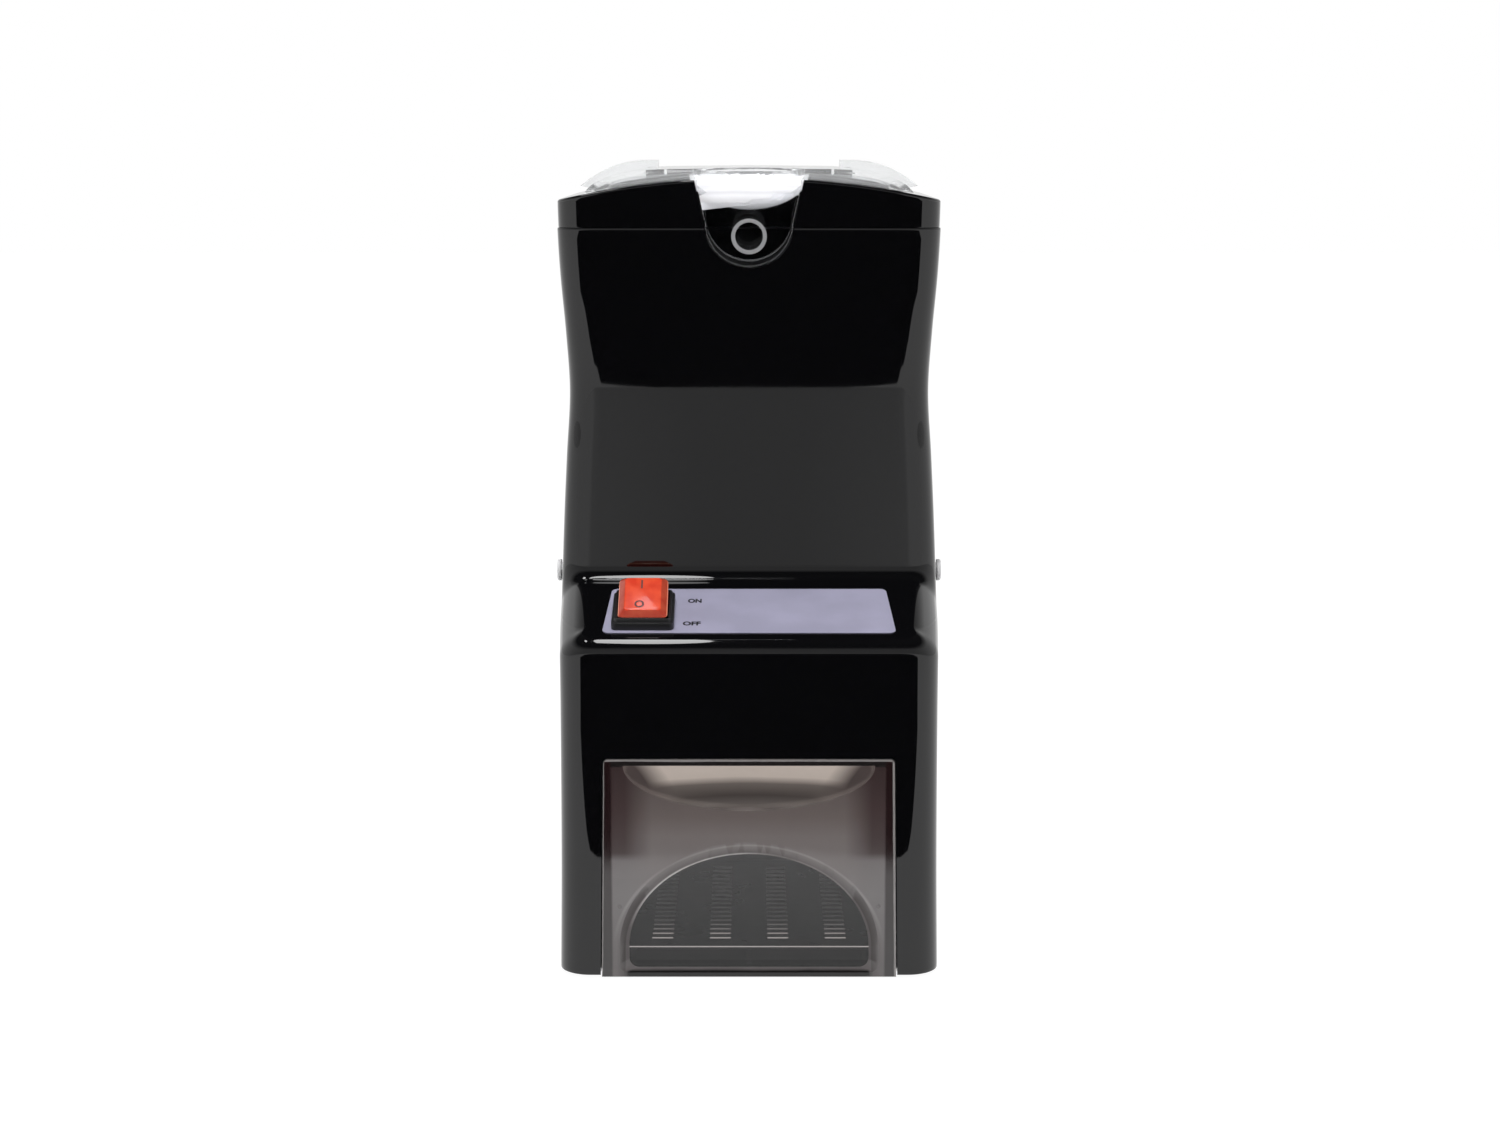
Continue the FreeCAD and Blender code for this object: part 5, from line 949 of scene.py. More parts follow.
def tongue_slab(grow, front_in, back_in, top_z, low_z=0.0):
    """The U outline as a slab that leans with the wall, between two depths in it."""
    heights = TONGUE_CENTRE_Z - (TONGUE_R + grow) * np.cos(np.radians(np.linspace(0.0, 90.0, 31)))
    heights = np.concatenate((heights, np.linspace(TONGUE_CENTRE_Z, max(top_z, TONGUE_CENTRE_Z), 16)[1:]))
    heights = np.unique(np.clip(heights, low_z, top_z))
    loops = []
    for z in heights:
        half = float(tongue_half(z, grow))
        wall = WALL_Y + float(wall_lean(np.array(z)))
        across = np.linspace(-half, half, 9)
        near = [(x, wall + front_in, z) for x in across]
        far = [(x, wall + back_in, z) for x in across[::-1]]
        loops.append(np.array(near + far))
    return stacked(loops, "tongue_slab")


def pocket_cut():
    """The space of the lid's tongue and the thumb pocket behind it, open to the front and upwards."""
    return tongue_slab(TONGUE_GAP, FAR_OUT, POCKET_DEPTH, FAR_UP)


print("tongue half width at the seam:", round(float(tongue_half(SEAM_Z, 0.0)), 2), "mm")

# %% The shelf's own frame
def shelf_to_world(points):
    """From the shelf's frame (x, s up the slope, n out of it) to the machine's."""
    points = np.asarray(points, float)
    cosine, sine = math.cos(SHELF_TILT), math.sin(SHELF_TILT)
    y = FRONT + points[:, 1] * cosine - points[:, 2] * sine
    z = SHELF_Z + points[:, 1] * sine + points[:, 2] * cosine
    return np.stack((points[:, 0], y, z), -1)


def shelf_from_world(points):
    """The way back from shelf_to_world."""
    cosine, sine = math.cos(SHELF_TILT), math.sin(SHELF_TILT)
    y, z = points[:, 1] - FRONT, points[:, 2] - SHELF_Z
    return np.stack((points[:, 0], y * cosine + z * sine, z * cosine - y * sine), -1)


def on_shelf(obj):
    """Move a piece made in the shelf's own frame to its place."""
    place_all(obj, shelf_to_world(vertices_of(obj)))
    return obj


print("shelf's front edge:", [round(float(v), 2) for v in shelf_to_world([(0.0, 0.0, 0.0)])[0]])

# %% Openings in the housing
SWITCH_X, SWITCH_S, SWITCH_HOLE_X, SWITCH_HOLE_S = -54.15, 31.4, 14.4, 17.9
COVER_HALF, COVER_LOW, COVER_HIGH, COVER_DEEP = 75.3, 39.7, 340.3, 2.5
REAR_HOLE_HALF, REAR_HOLE_LOW, REAR_HOLE_HIGH = 67.0, 48.0, 332.0
PLUG_R, PLUG_Y, PLUG_Z, PLUG_REACH = 4.05, -25.0, 196.4, 130.0
BACKING_THICK, BACKING_BELOW_SEAM = 4.0, 0.5

housing_tools = [prism(drawer_outline(DRAWER_GAP, FRONT - 5.0), (0.0, DRAWER_CUT_DEEP, 0.0))]
housing_tools.append(pocket_cut())
housing_tools.append(on_shelf(block(SWITCH_X - SWITCH_HOLE_X, SWITCH_X + SWITCH_HOLE_X,
                                    SWITCH_S - SWITCH_HOLE_S, SWITCH_S + SWITCH_HOLE_S, -20.0, 10.0)))
housing_tools.append(block(-COVER_HALF, COVER_HALF, BACK - COVER_DEEP, BACK + 5.0, COVER_LOW, COVER_HIGH))
housing_tools.append(block(-REAR_HOLE_HALF, REAR_HOLE_HALF, BACK - 12.0, BACK - 1.0,
                           REAR_HOLE_LOW, REAR_HOLE_HIGH))
housing_tools.append(rod(PLUG_R, (-PLUG_REACH, PLUG_Y, PLUG_Z), (PLUG_REACH, PLUG_Y, PLUG_Z), 32))
print("cutters:", len(housing_tools))
for tool in housing_tools:
    boolean(housing, tool)
backing = tongue_slab(BACKING_THICK, WALL - 0.05, POCKET_DEPTH + WALL, SEAM_Z - BACKING_BELOW_SEAM)
boolean(backing, pocket_cut())
housing = joined([housing, backing], "gloss_housing")
smooth(housing, 32.0)
paint(housing, "gloss_black")
stand_for(housing, "casing", "gloss_black", "main_housing")

# %% [markdown]
# ## The top cap
#
# The cap is a second moulding that drops over the housing with a fine step, so
# its sides follow the same form, set in by 0.6 mm. Its top is part of a large
# barrel. The loops climb the side, turn over a small radius, which is what
# draws the thin bright line along the front, and close on the crown. The inner
# loops and the lip that locates the cap are made in the same run. The housing
# could be cut in two at the seam instead, but then the step would be missing,
# and the step is what makes the fine dark line between the two mouldings.

# %% Cap skin
CAP_STEP, CAP_EDGE = 0.6, 1.3
LIP_IN, LIP_DEEP, LIP_THICK = 3.3, 8.0, 2.0


def crown_z(x, drop=0.0):
    return CROWN_Z - CROWN_R + np.sqrt((CROWN_R - drop) ** 2 - np.asarray(x, float) ** 2)


def crown_loop(share, inset, drop=0.0):
    """A loop part of the way up from the seam to the crown."""
    def height(x, y):
        return SEAM_Z + share * (crown_z(x, drop) - SEAM_Z)
    angles = thinned_angles(height, inset)
    return whole_loop(*on_skin(angles, height, inset))


def toward_middle(loop, share, drop=0.0):
    """The loop drawn in towards the centre line, laid on the crown."""
    points = loop.copy()
    points[:, 0] *= share
    points[:, 1] = CENTRE_Y + (points[:, 1] - CENTRE_Y) * share
    points[:, 2] = crown_z(points[:, 0], drop)
    return points


cap_loops = []
inner_top = crown_loop(1.0, CAP_STEP + WALL + 0.5, WALL)
for share in (0.0, 0.2, 0.45, 0.7, 0.9, 1.0):
    cap_loops.append(toward_middle(inner_top, share, WALL))
cap_loops += [crown_loop(share, CAP_STEP + WALL, WALL) for share in (0.97, 0.7, 0.4)]
cap_loops.append(level_loop(SEAM_Z + 4.0, CAP_STEP + WALL))
cap_loops.append(level_loop(SEAM_Z + 3.6, LIP_IN + LIP_THICK))
cap_loops.append(level_loop(SEAM_Z - LIP_DEEP, LIP_IN + LIP_THICK))
cap_loops += [level_loop(SEAM_Z - LIP_DEEP, LIP_IN), level_loop(SEAM_Z, LIP_IN)]
cap_loops += [level_loop(SEAM_Z, CAP_STEP + 0.35), level_loop(SEAM_Z + 0.12, CAP_STEP + 0.1)]
cap_loops.append(level_loop(SEAM_Z + 0.4, CAP_STEP))
for share in np.linspace(0.06, 0.9, 9):
    cap_loops.append(crown_loop(share, CAP_STEP))
cap_rise = crown_loop(1.0, CAP_STEP + CAP_EDGE)
for turn in np.radians(np.linspace(0.0, 90.0, 8)):
    loop = crown_loop(1.0, CAP_STEP + CAP_EDGE * (1 - math.cos(turn)))
    loop[:, 2] -= CAP_EDGE * (1 - math.sin(turn))
    cap_loops.append(loop)
cap_loops.append(toward_middle(cap_loops[-1], 0.985))
for share in (0.96, 0.92, 0.86, 0.78, 0.68, 0.5, 0.3, 0.1, 0.0):
    cap_loops.append(toward_middle(cap_rise, share))
cap = stacked([loop[:-1] for loop in cap_loops], "gloss_cap")
print("cap skin:", len(cap.data.polygons), "faces")

# %% Shapes for the cap's openings
BOWL_Y, BOWL_Z, BOWL_HALF, BOWL_R = -47.0, 408.5, 29.0, 16.5
BOWL_GAP, BOWL_WALL = 2.9, 5.6
MOUTH_HALF, MOUTH_CORNER, MOUTH_BEHIND_BOWL, MOUTH_BEFORE_HINGE = 74.3, 16.3, 21.7, 13.7
HINGE_Y, HINGE_Z = 85.0, 405.4
HINGE_BED_HALF, HINGE_BED_LOW, HINGE_BED_TOP = 64.0, 396.5, 401.2
HINGE_WELL_HALF, HINGE_WELL_REACH, HINGE_WELL_LOW = 61.0, 11.0, 399.5
KNUCKLE_HALF, KNUCKLE_R, KNUCKLE_FOOT, PIN_HOLE_R = 45.5, 4.2, 3.5, 2.02
PLUNGER_X, PLUNGER_Y, PLUNGER_HOLE_R = 86.7, 25.0, 1.85


def egg(half, radius, y=BOWL_Y, z=BOWL_Z, x=0.0):
    """A sphere primitive stretched across, poles at its two ends."""
    nothing_selected()
    bpy.ops.mesh.primitive_uv_sphere_add(segments=96, ring_count=64, radius=1.0,
                                         rotation=(0.0, math.pi / 2, 0.0))
    obj = settle(bpy.context.object, "egg")
    place_all(obj, vertices_of(obj) * MM * np.array((half, radius, radius)) + np.array((x, y, z)))
    return obj


def round_block(x0, x1, y0, y1, z0, z1, radius):
    """Upright block with round corners in plan."""
    points = []
    for cx, cy, start in ((x1 - radius, y1 - radius, 0.0), (x0 + radius, y1 - radius, 90.0),
                          (x0 + radius, y0 + radius, 180.0), (x1 - radius, y0 + radius, 270.0)):
        points += arc_points((cx, cy), radius, start, start + 90.0, 10)
    return prism([(x, y, z0) for x, y in points], (0.0, 0.0, z1 - z0))


def across_hinge(half, radius, vertices):
    """A rod along the hinge's axis."""
    return rod(radius, (-half, HINGE_Y, HINGE_Z), (half, HINGE_Y, HINGE_Z), vertices)


print("bowl opening is", round(2 * (BOWL_HALF + BOWL_GAP), 1), "mm wide")

# %% What stands inside the cap, and what is cut from it
boolean(cap, tongue_slab(BACKING_THICK, 1.5, POCKET_DEPTH + WALL, CROWN_Z - 2.6, SEAM_Z + 0.6), "UNION")
bowl_wall = egg(BOWL_HALF + BOWL_WALL, BOWL_R + BOWL_WALL)
boolean(bowl_wall, block(-60.0, 60.0, WALL_Y + 4.0, 0.0, SEAM_Z + 1.0, CROWN_Z - WALL), "INTERSECT")
boolean(cap, bowl_wall, "UNION")
boolean(cap, block(-HINGE_BED_HALF, HINGE_BED_HALF, HINGE_Y - 14.0, HINGE_Y + 14.0,
                   HINGE_BED_LOW, HINGE_BED_TOP), "UNION")
cap_tools = [tongue_slab(BACKING_THICK + 0.3, 1.0, POCKET_DEPTH + WALL + 0.3, SEAM_Z), pocket_cut()]
cap_tools.append(tongue_slab(TONGUE_GAP, FAR_OUT, WALL, FAR_UP, BOWL_Z - BOWL_R + 2.0))
cap_tools.append(egg(BOWL_HALF + BOWL_GAP, BOWL_R + BOWL_GAP))
cap_tools.append(round_block(-MOUTH_HALF, MOUTH_HALF, BOWL_Y + MOUTH_BEHIND_BOWL,
                             HINGE_Y - MOUTH_BEFORE_HINGE, SEAM_Z - 20.0, CROWN_Z + 20.0, MOUTH_CORNER))
cap_tools.append(block(-HINGE_WELL_HALF, HINGE_WELL_HALF, HINGE_Y - HINGE_WELL_REACH,
                       HINGE_Y + HINGE_WELL_REACH, HINGE_WELL_LOW, CROWN_Z + 10.0))
cap_tools.append(rod(PLUNGER_HOLE_R, (PLUNGER_X, PLUNGER_Y, 380.0), (PLUNGER_X, PLUNGER_Y, 410.0), 24))
for tool in cap_tools:
    boolean(cap, tool)
knuckle = across_hinge(KNUCKLE_HALF, KNUCKLE_R, 40)
boolean(knuckle, block(-KNUCKLE_HALF, KNUCKLE_HALF, HINGE_Y - KNUCKLE_FOOT, HINGE_Y + KNUCKLE_FOOT,
                       HINGE_WELL_LOW - 1.0, HINGE_Z), "UNION")
boolean(cap, knuckle, "UNION")
boolean(cap, across_hinge(KNUCKLE_HALF + 4.5, PIN_HOLE_R, 24))
smooth(cap, 32.0)
paint(cap, "gloss_black")
stand_for(cap, "casing", "gloss_black", "top_cap")

# %% [markdown]
# ## The lid
#
# The lid is one clear moulding: a shallow dome, two wings by the hinge, a
# finger bowl, and a tongue that hangs down in front with a raised ring. Its
# solid already has these forms, and a second skin that misses them by a hair
# would show through clear plastic, so a copy of the solid is dressed. Clear
# plastic shows its edges more than its faces, so every edge gets a small
# radius, which catches the light as a white line. Other finishes are given to
# the faces of the bowl, of the tongue, of its rim and of its ring, found by
# their place and the way they face.

# %% Faces of the lid
BOWL_SKIN_HALF, BOWL_SKIN_R = 31.0, 18.5
TONGUE_FACES_HALF, RING_Z, RING_R, RING_FACE = 34.0, SEAM_Z - 4.1, 10.8, 70.0


def faces_where(obj, test, index):
    """Give another finish to the faces that pass a test, and count them (millimetres)."""
    count = 0
    for face in obj.data.polygons:
        if test(face.center / MM, face.normal, face.area / MM ** 2):
            face.material_index = index
            count += 1
    return count


def in_egg(place, y, z, half, radius, low, high):
    """Near the skin of an egg that is stretched across: its middle is at y and z."""
    far = (place.x / half) ** 2 + ((place.y - y) / radius) ** 2 + ((place.z - z) / radius) ** 2
    return low < far < high


def in_bowl(place, normal, area):
    near = in_egg(place, BOWL_Y, BOWL_Z, BOWL_SKIN_HALF, BOWL_SKIN_R, 0.72, 1.10)
    return near and place.z < BOWL_Z - 1.0


def on_tongue(place, normal, area):
    return place.y < WALL_Y + 1.5 and place.z < CROWN_Z - 8.0 and abs(place.x) < TONGUE_FACES_HALF


def on_ring(place, normal, area):
    """The raised ring's own small faces."""
    near = math.hypot(place.x, place.z - RING_Z) < RING_R
    return near and place.y < WALL_Y + 1.0 and area < RING_FACE


def on_tongue_rim(place, normal, area):
    """The tongue's faces that don't look forwards or backwards, apart from the ring's."""
    beyond = math.hypot(place.x, place.z - RING_Z) > RING_R + 0.2
    return on_tongue(place, normal, area) and abs(normal.y) < 0.93 and beyond


def other_finishes(obj, *finishes):
    """Add finishes to a piece; the first one added has index 1."""
    for finish_name in finishes:
        obj.data.materials.append(FINISHES[finish_name])


print("ring's middle at", round(RING_Z, 2), "mm")

# %% Lid
lid = dressed_copy("lid", "clear_lid_shell", 0.45, 32.0, 2)
paint(lid, "clear_lid")
# The ring gets a lighter clear finish with a faint glow, painted light; the bowl a painted glow in bands;
# the tongue's rim a strongly glowing painted highlight.
other_finishes(lid, "clear_rim_painted_light", "frosted_bowl_painted_glow", "clear_tongue", "rim_painted_highlight")
print("tongue faces:", faces_where(lid, on_tongue, 3), "rim faces:", faces_where(lid, on_tongue_rim, 4),
      "ring faces:", faces_where(lid, on_ring, 1), "bowl faces:", faces_where(lid, in_bowl, 2))
stand_for(lid, "lid", "clear_lid", "lid")

# %% [markdown]
# ## The ice drawer
#
# The drawer is one smoke moulding: a front with a scooped grip under its top
# bar, an arched window set back by 5 mm, and the bin behind. It is a copy of
# its solid as the lid is, with two small dimples beside the arch cut by
# spheres. Its front's milky face, darker flanks and light lines are painted
# light and shade in its colour, the thinner pane of the arch is clear enough
# to show the slotted plate inside, and the scoop and the outer edge glow with
# painted light. The pane could be a piece of its own, but it is one with the
# front, so four finishes on one mesh say that instead.

# %% Faces of the drawer
ARCH_GROW, ARCH_FOOT, PANE_NEAR, PANE_FAR = 0.4, 4.0, 4.6, 8.4
SCOOP_HALF, SCOOP_R = 64.0, 23.5
EDGE_BAR_Z, EDGE_HALF, EDGE_TOP_Z, EDGE_LEAN = 114.5, 72.7, 116.0, 0.0157
DIMPLE_R, DIMPLE_OUT, DIMPLE_X, DIMPLE_Z = 1.6, 1.1, 66.3, 38.5


def in_window(place, normal, area):
    """The pane's two faces, set back in the arch."""
    half, rise = ARCH_HALF + ARCH_GROW, ARCH_RISE + ARCH_GROW
    if abs(place.x) > half or place.z < ARCH_FOOT or not FRONT + PANE_NEAR <= place.y <= FRONT + PANE_FAR:
        return False
    return place.z < ARCH_SPRING or (place.x / half) ** 2 + ((place.z - ARCH_SPRING) / rise) ** 2 < 1.0


def in_scoop(place, normal, area):
    near = in_egg(place, FRONT + DRAWER_FACE_IN, SCOOP_Z, SCOOP_HALF, SCOOP_R, 0.90, 1.04)
    return near and FRONT < place.y < FRONT + SCOOP_R + 1.0 and place.z < SCOOP_Z + 0.1


def on_outer_edge(place, normal, area):
    """The bevel round the front's outline and along the top bar."""
    high = place.z > EDGE_BAR_Z
    outer = abs(place.x) > EDGE_HALF + (EDGE_TOP_Z - place.z) * EDGE_LEAN
    return place.y < FRONT + 1.5 and (high or outer) and abs(normal.y) < 0.992


print("arch is", round(ARCH_SPRING + ARCH_RISE, 1), "mm high")

# %% Drawer
drawer = dressed_copy("drawer", "smoke_drawer_body", 0.45, 32.0, 2)
for side in (-1, 1):
    boolean(drawer, egg(DIMPLE_R, DIMPLE_R, FRONT + DRAWER_FACE_IN - DIMPLE_OUT, DIMPLE_Z, side * DIMPLE_X))
smooth(drawer, 32.0)
flat_faces(drawer)
# The body's colour carries painted light and shade; the scoop's finish is painted light and shade with a
# glow, the outer edge's a glowing painted highlight, and the pane is clear smoke.
paint(drawer, "smoke_drawer")
other_finishes(drawer, "smoke_pane", "scoop_painted_light", "smoke_edge_painted_highlight")
print("pane faces:", faces_where(drawer, in_window, 1), "scoop:", faces_where(drawer, in_scoop, 2),
      "edge:", faces_where(drawer, on_outer_edge, 3))
stand_for(drawer, "drawer", "smoke_drawer", "drawer")

# %% [markdown]
# ## The slotted plate
#
# The plate in the drawer lets meltwater through four columns of slots. Its
# solid has the right shape already, so a copy is merged and smoothed, and the
# slots' far walls get a painted glint, a glowing band along their top that is
# bright in front and dim behind, because they are what shows.

# %% Plate
grid = dressed_copy("drip_grid", "slotted_plate", 0.0, 32.0)
paint(grid, "grid_clear")
# The slots' far walls get the glowing painted glint.
other_finishes(grid, "slot_edge_painted_glint")
print("slot walls:", faces_where(grid, lambda place, normal, area: normal.y < -0.7, 1))
stand_for(grid, "drawer", "grid_clear", "drip_grid")

# %% [markdown]
# ## The label and its two words
#
# The label is a thin satin plate let into the shelf's slope. Its lettering
# is printed, so each word is a flat curve turned to a mesh, a few hundredths
# of a millimetre thick, laid on the plate in the shelf's own frame. An image
# of the words would be quicker, but it blurs close up and isn't a shape.

# %% Label
label = dressed_copy("label_plate", "satin_label", 0.12, 30.0, 1)
paint(label, "label_grey")
stand_for(label, "casing", "label_grey", "label_plate")

# %% The two words
LABEL_TOP, INK = 0.5, 0.03
WORDS_RIGHT = -24.6
STROKE_HEAVIER, WORD_DEEP = 0.042, 0.02


def printed_word(word, low_s, width, height):
    """A word whose foot, width and cap height are given in the shelf's frame."""
    nothing_selected()
    bpy.ops.object.text_add()
    obj = bpy.context.object
    obj.data.body = word
    obj.data.size = 1.0
    obj.data.offset = STROKE_HEAVIER
    obj.data.extrude = WORD_DEEP
    only(obj)
    bpy.ops.object.convert(target="MESH")
    obj = bpy.context.object
    points = vertices_of(obj) * MM
    low, high = points.min(0), points.max(0)
    place = (points - low) / (high - low)
    place[:, 0] = WORDS_RIGHT - width + place[:, 0] * width
    place[:, 1] = low_s + place[:, 1] * height
    place[:, 2] = LABEL_TOP + INK * place[:, 2]
    place_all(obj, place)
    on_shelf(obj)
    tidy_mesh(obj, 0.001)
    return settle(obj, "word_" + word.lower())


for word in (printed_word("ON", 45.2, 7.1, 4.8), printed_word("OFF", 18.6, 9.2, 4.6)):
    paint(word, "print_black")
    stand_for(word, "casing", "switch_black")

# %% [markdown]
# ## The switch
#
# The bezel is satin black with a step. The rocker is a clear orange-red cap
# over a moulded core: a block whose upright edges are rounded, whose top is
# extruded and drawn in to a truncated pyramid, and whose rims are bevelled. A
# copy of its solid would do for the motion, but the solid's top is plain. Its
# slopes get a darker copy of the orange, which is painted shade, and its
# bevels a lighter one that glows, a painted highlight, so faces that lean
# more or less get finishes of their own.

# %% Bezel
BEZEL_TALLER, FLANGE_TOP = 0.27, 0.8

bezel = dressed_copy("switch_body", "switch_bezel", 0.45, 32.0, 2)
in_shelf = shelf_from_world(vertices_of(bezel))
in_shelf[:, 2] += BEZEL_TALLER * np.maximum(in_shelf[:, 2] - FLANGE_TOP, 0.0)
place_all(bezel, shelf_to_world(in_shelf))
print("bezel stands", round(float(in_shelf[:, 2].max()), 2), "mm proud")
paint(bezel, "switch_black")
stand_for(bezel, "casing", "switch_black", "switch_body")

# %% Rocker's shape and place
ROCKER_REST, ROCKER_PIVOT_N = math.radians(14.0), 2.5
ROCKER_HALF_X, ROCKER_HALF_S, ROCKER_LOW, ROCKER_SHOULDER, ROCKER_TOP = 12.6, 15.0, -2.2, 6.2, 8.8
TALLER_NEAR, TALLER_FAR = 0.136, 0.228


def rocker_to_shelf(obj):
    """From the rocker's own frame to the shelf's: a wedge, higher at its far end, turned to its rest."""
    points = vertices_of(obj)
    along = (points[:, 1] + ROCKER_HALF_S) / (2 * ROCKER_HALF_S)
    points[:, 2] += (points[:, 2] - ROCKER_LOW) * (TALLER_NEAR + TALLER_FAR * along)
    s = points[:, 1] * math.cos(ROCKER_REST) - points[:, 2] * math.sin(ROCKER_REST)
    n = points[:, 1] * math.sin(ROCKER_REST) + points[:, 2] * math.cos(ROCKER_REST)
    place_all(obj, np.stack((points[:, 0] + SWITCH_X, s + SWITCH_S, n + ROCKER_PIVOT_N), -1))
    return on_shelf(obj)


def jewel(name, draw, corner, edge):
    """Block with rounded upright edges, its top drawn in to a flat table."""
    half_x, half_s = ROCKER_HALF_X, ROCKER_HALF_S
    obj = block(-half_x, half_x, -half_s, half_s, ROCKER_LOW, ROCKER_SHOULDER)
    only(obj)
    bpy.ops.object.mode_set(mode="EDIT")
    mesh = bmesh.from_edit_mesh(obj.data)
    for item in mesh.edges:
        item.select_set(abs(item.verts[0].co.z - item.verts[1].co.z) > 1e-4)
    bmesh.update_edit_mesh(obj.data)
    bpy.ops.mesh.select_mode(type="EDGE")
    bpy.ops.mesh.bevel(offset=corner * MM, segments=6, affect="EDGES")
    bpy.ops.mesh.select_all(action="DESELECT")
    bpy.ops.mesh.select_mode(type="FACE")
    mesh = bmesh.from_edit_mesh(obj.data)
    for face in mesh.faces:
        face.select_set(face.normal.z > 0.9)
    bmesh.update_edit_mesh(obj.data)
    rise = (ROCKER_TOP - ROCKER_SHOULDER) * MM
    bpy.ops.mesh.extrude_region_move(TRANSFORM_OT_translate={"value": (0.0, 0.0, rise)})
    bpy.ops.transform.resize(value=((half_x - draw) / half_x, (half_s - draw) / half_s, 1.0))
    bpy.ops.object.mode_set(mode="OBJECT")
    bevel(obj, edge, 3, 25.0)
    obj.name = name
    return obj


print("table is", round(ROCKER_TOP - ROCKER_SHOULDER, 1), "mm above the shoulder")

# %% Rocker and its two marks
MARK_LOW, MARK_TOP, MARK_RING_R, MARK_RING_LINE = 8.78, 8.84, 2.0, 0.45

rocker = jewel("rocker_key", draw=3.4, corner=2.8, edge=0.5)
smooth(rocker, 30.0)
paint(rocker, "rocker_orange")
# Slopes get the darker copy of the orange as painted shade; bevels the lighter, glowing one as a painted
# highlight.
other_finishes(rocker, "rocker_slope_painted_shade", "rocker_edge_painted_highlight")
print("rocker slopes:", faces_where(rocker, lambda place, normal, area: 0.70 < normal.z < 0.88, 1),
      "edges:", faces_where(rocker, lambda place, normal, area: 0.05 < normal.z < 0.70, 2))
rocker_to_shelf(rocker)
stand_for(rocker, "rocker", "rocker_orange", "rocker")

mark_on = block(-1.15, -0.25, 3.9, 9.9, MARK_LOW, MARK_TOP)
nothing_selected()
bpy.ops.mesh.primitive_torus_add(major_segments=40, minor_segments=8, major_radius=MARK_RING_R,
                                 minor_radius=MARK_RING_LINE)
mark_off = settle(bpy.context.object, "mark_off")
flattened = vertices_of(mark_off) * MM * np.array((1.0, 1.05, 0.1))
place_all(mark_off, flattened + np.array((-1.7, -7.4, ROCKER_TOP)))
marks = joined([rocker_to_shelf(mark_on), rocker_to_shelf(mark_off)], "rocker_marks")
paint(marks, "rocker_mark")
stand_for(marks, "rocker", "switch_black")

# %% [markdown]
# ## The rest of the machine
#
# Screws, plates, gears and the other parts inside already have their shape as
# solids. Each is copied, merged and given a fine broken edge, so that metal and
# plastic catch a line of light where two faces meet.

# %% Copies with broken edges
EDGES = {
    "side_plugs": 0.25, "rear_cover": 0.0, "rear_cover_screws": 0.15, "power_inlet": 0.3, "inlet_pins": 0.2,
    "base_plate": 0.3, "feet": 0.4, "base_screws": 0.15, "hopper": 0.4, "hinge_pin": 0.2,
    "lid_switch": 0.3, "lid_switch_plunger": 0.0, "switch_terminals": 0.0, "rocker_pin": 0.0,
    "crushing_chamber": 0.3, "fixed_comb": 0.25, "rotor_shaft": 0.0, "blade_spacers": 0.15,
    "bush_gear_side": 0.2, "bush_far_side": 0.2, "shaft_collar": 0.3, "ice_chute": 0.3,
    "gear_side_plate": 0.4, "far_side_plate": 0.4, "chamber_screws": 0.0, "frame_screws": 0.0,
    "rotor_gear": 0.15, "idler_gear": 0.15, "motor_pinion": 0.1, "idler_axle": 0.2, "idler_clip": 0.1,
    "motor_body": 0.5, "motor_end_bell": 0.3, "motor_shaft": 0.2, "cooling_fan": 0.2, "motor_screws": 0.0,
    "run_capacitor": 0.5, "capacitor_clip": 0.1, "drawer_bay": 0.3}
for blade in range(1, 7):
    EDGES["crusher_blade_%d" % blade] = 0.2
body_of = {}
for body_name, body_nodes in frame["record"]["behaviour"]["bodies"].items():
    for node_name in body_nodes:
        body_of[node_name] = body_name
for node_name, edge in EDGES.items():
    piece = dressed_copy(node_name, node_name + "_piece", edge, 32.0, 1)
    paint(piece, "plug_grey" if node_name == "side_plugs" else slot_of[node_name])
    stand_for(piece, body_of[node_name], slot_of[node_name], node_name)

# %% [markdown]
# ## The camera, the floor and the light
#
# A product picture of gloss black is mostly a picture of what it reflects. The
# camera looks slightly down at the machine from a little over a metre. The
# floor and the world are white to the camera. On the floor in front lie a dark
# card and, beyond it, a grey one that is brighter at its sides. Both are seen
# only in reflections: they make the deep black of the front and its softer
# borders. The sky is dark straight overhead, and two narrow strip lights draw
# the white lines on the rounded edges of the shelf and the cap.

# %% Camera
PIXELS_WIDE, SENSOR_WIDE = 1500, 36.0
LENS_PIXELS = 2535.4
CAMERA_X, CAMERA_Y, CAMERA_Z, AIM_Y, AIM_Z = 0.0005, -1.375, 0.4282, -0.125, 0.2172
camera_data = bpy.data.cameras.new("camera")
camera_data.sensor_width = SENSOR_WIDE
camera_data.lens = LENS_PIXELS / PIXELS_WIDE * camera_data.sensor_width
camera = bpy.data.objects.new("camera", camera_data)
scene.collection.objects.link(camera)
camera.location = (CAMERA_X, CAMERA_Y, CAMERA_Z)
down = math.atan2(CAMERA_Z - AIM_Z, AIM_Y - CAMERA_Y)
camera.rotation_euler = (math.pi / 2 - down, 0.0, 0.0)
camera_data.clip_start = 0.05
scene.camera = camera
print("lens", round(camera_data.lens, 2), "mm, looking down", round(math.degrees(down), 2), "degrees")

# %% Materials of the stage
def is_background_ray(nodes, links, mirrored=False):
    """One where a ray comes from the camera or through something clear, or off a gloss."""
    path = nodes.new("ShaderNodeLightPath").outputs
    seen = math_of(nodes, links, "MAXIMUM", path["Is Camera Ray"], path["Is Transmission Ray"])
    if mirrored:
        seen = math_of(nodes, links, "MAXIMUM", seen, path["Is Glossy Ray"])
    return seen


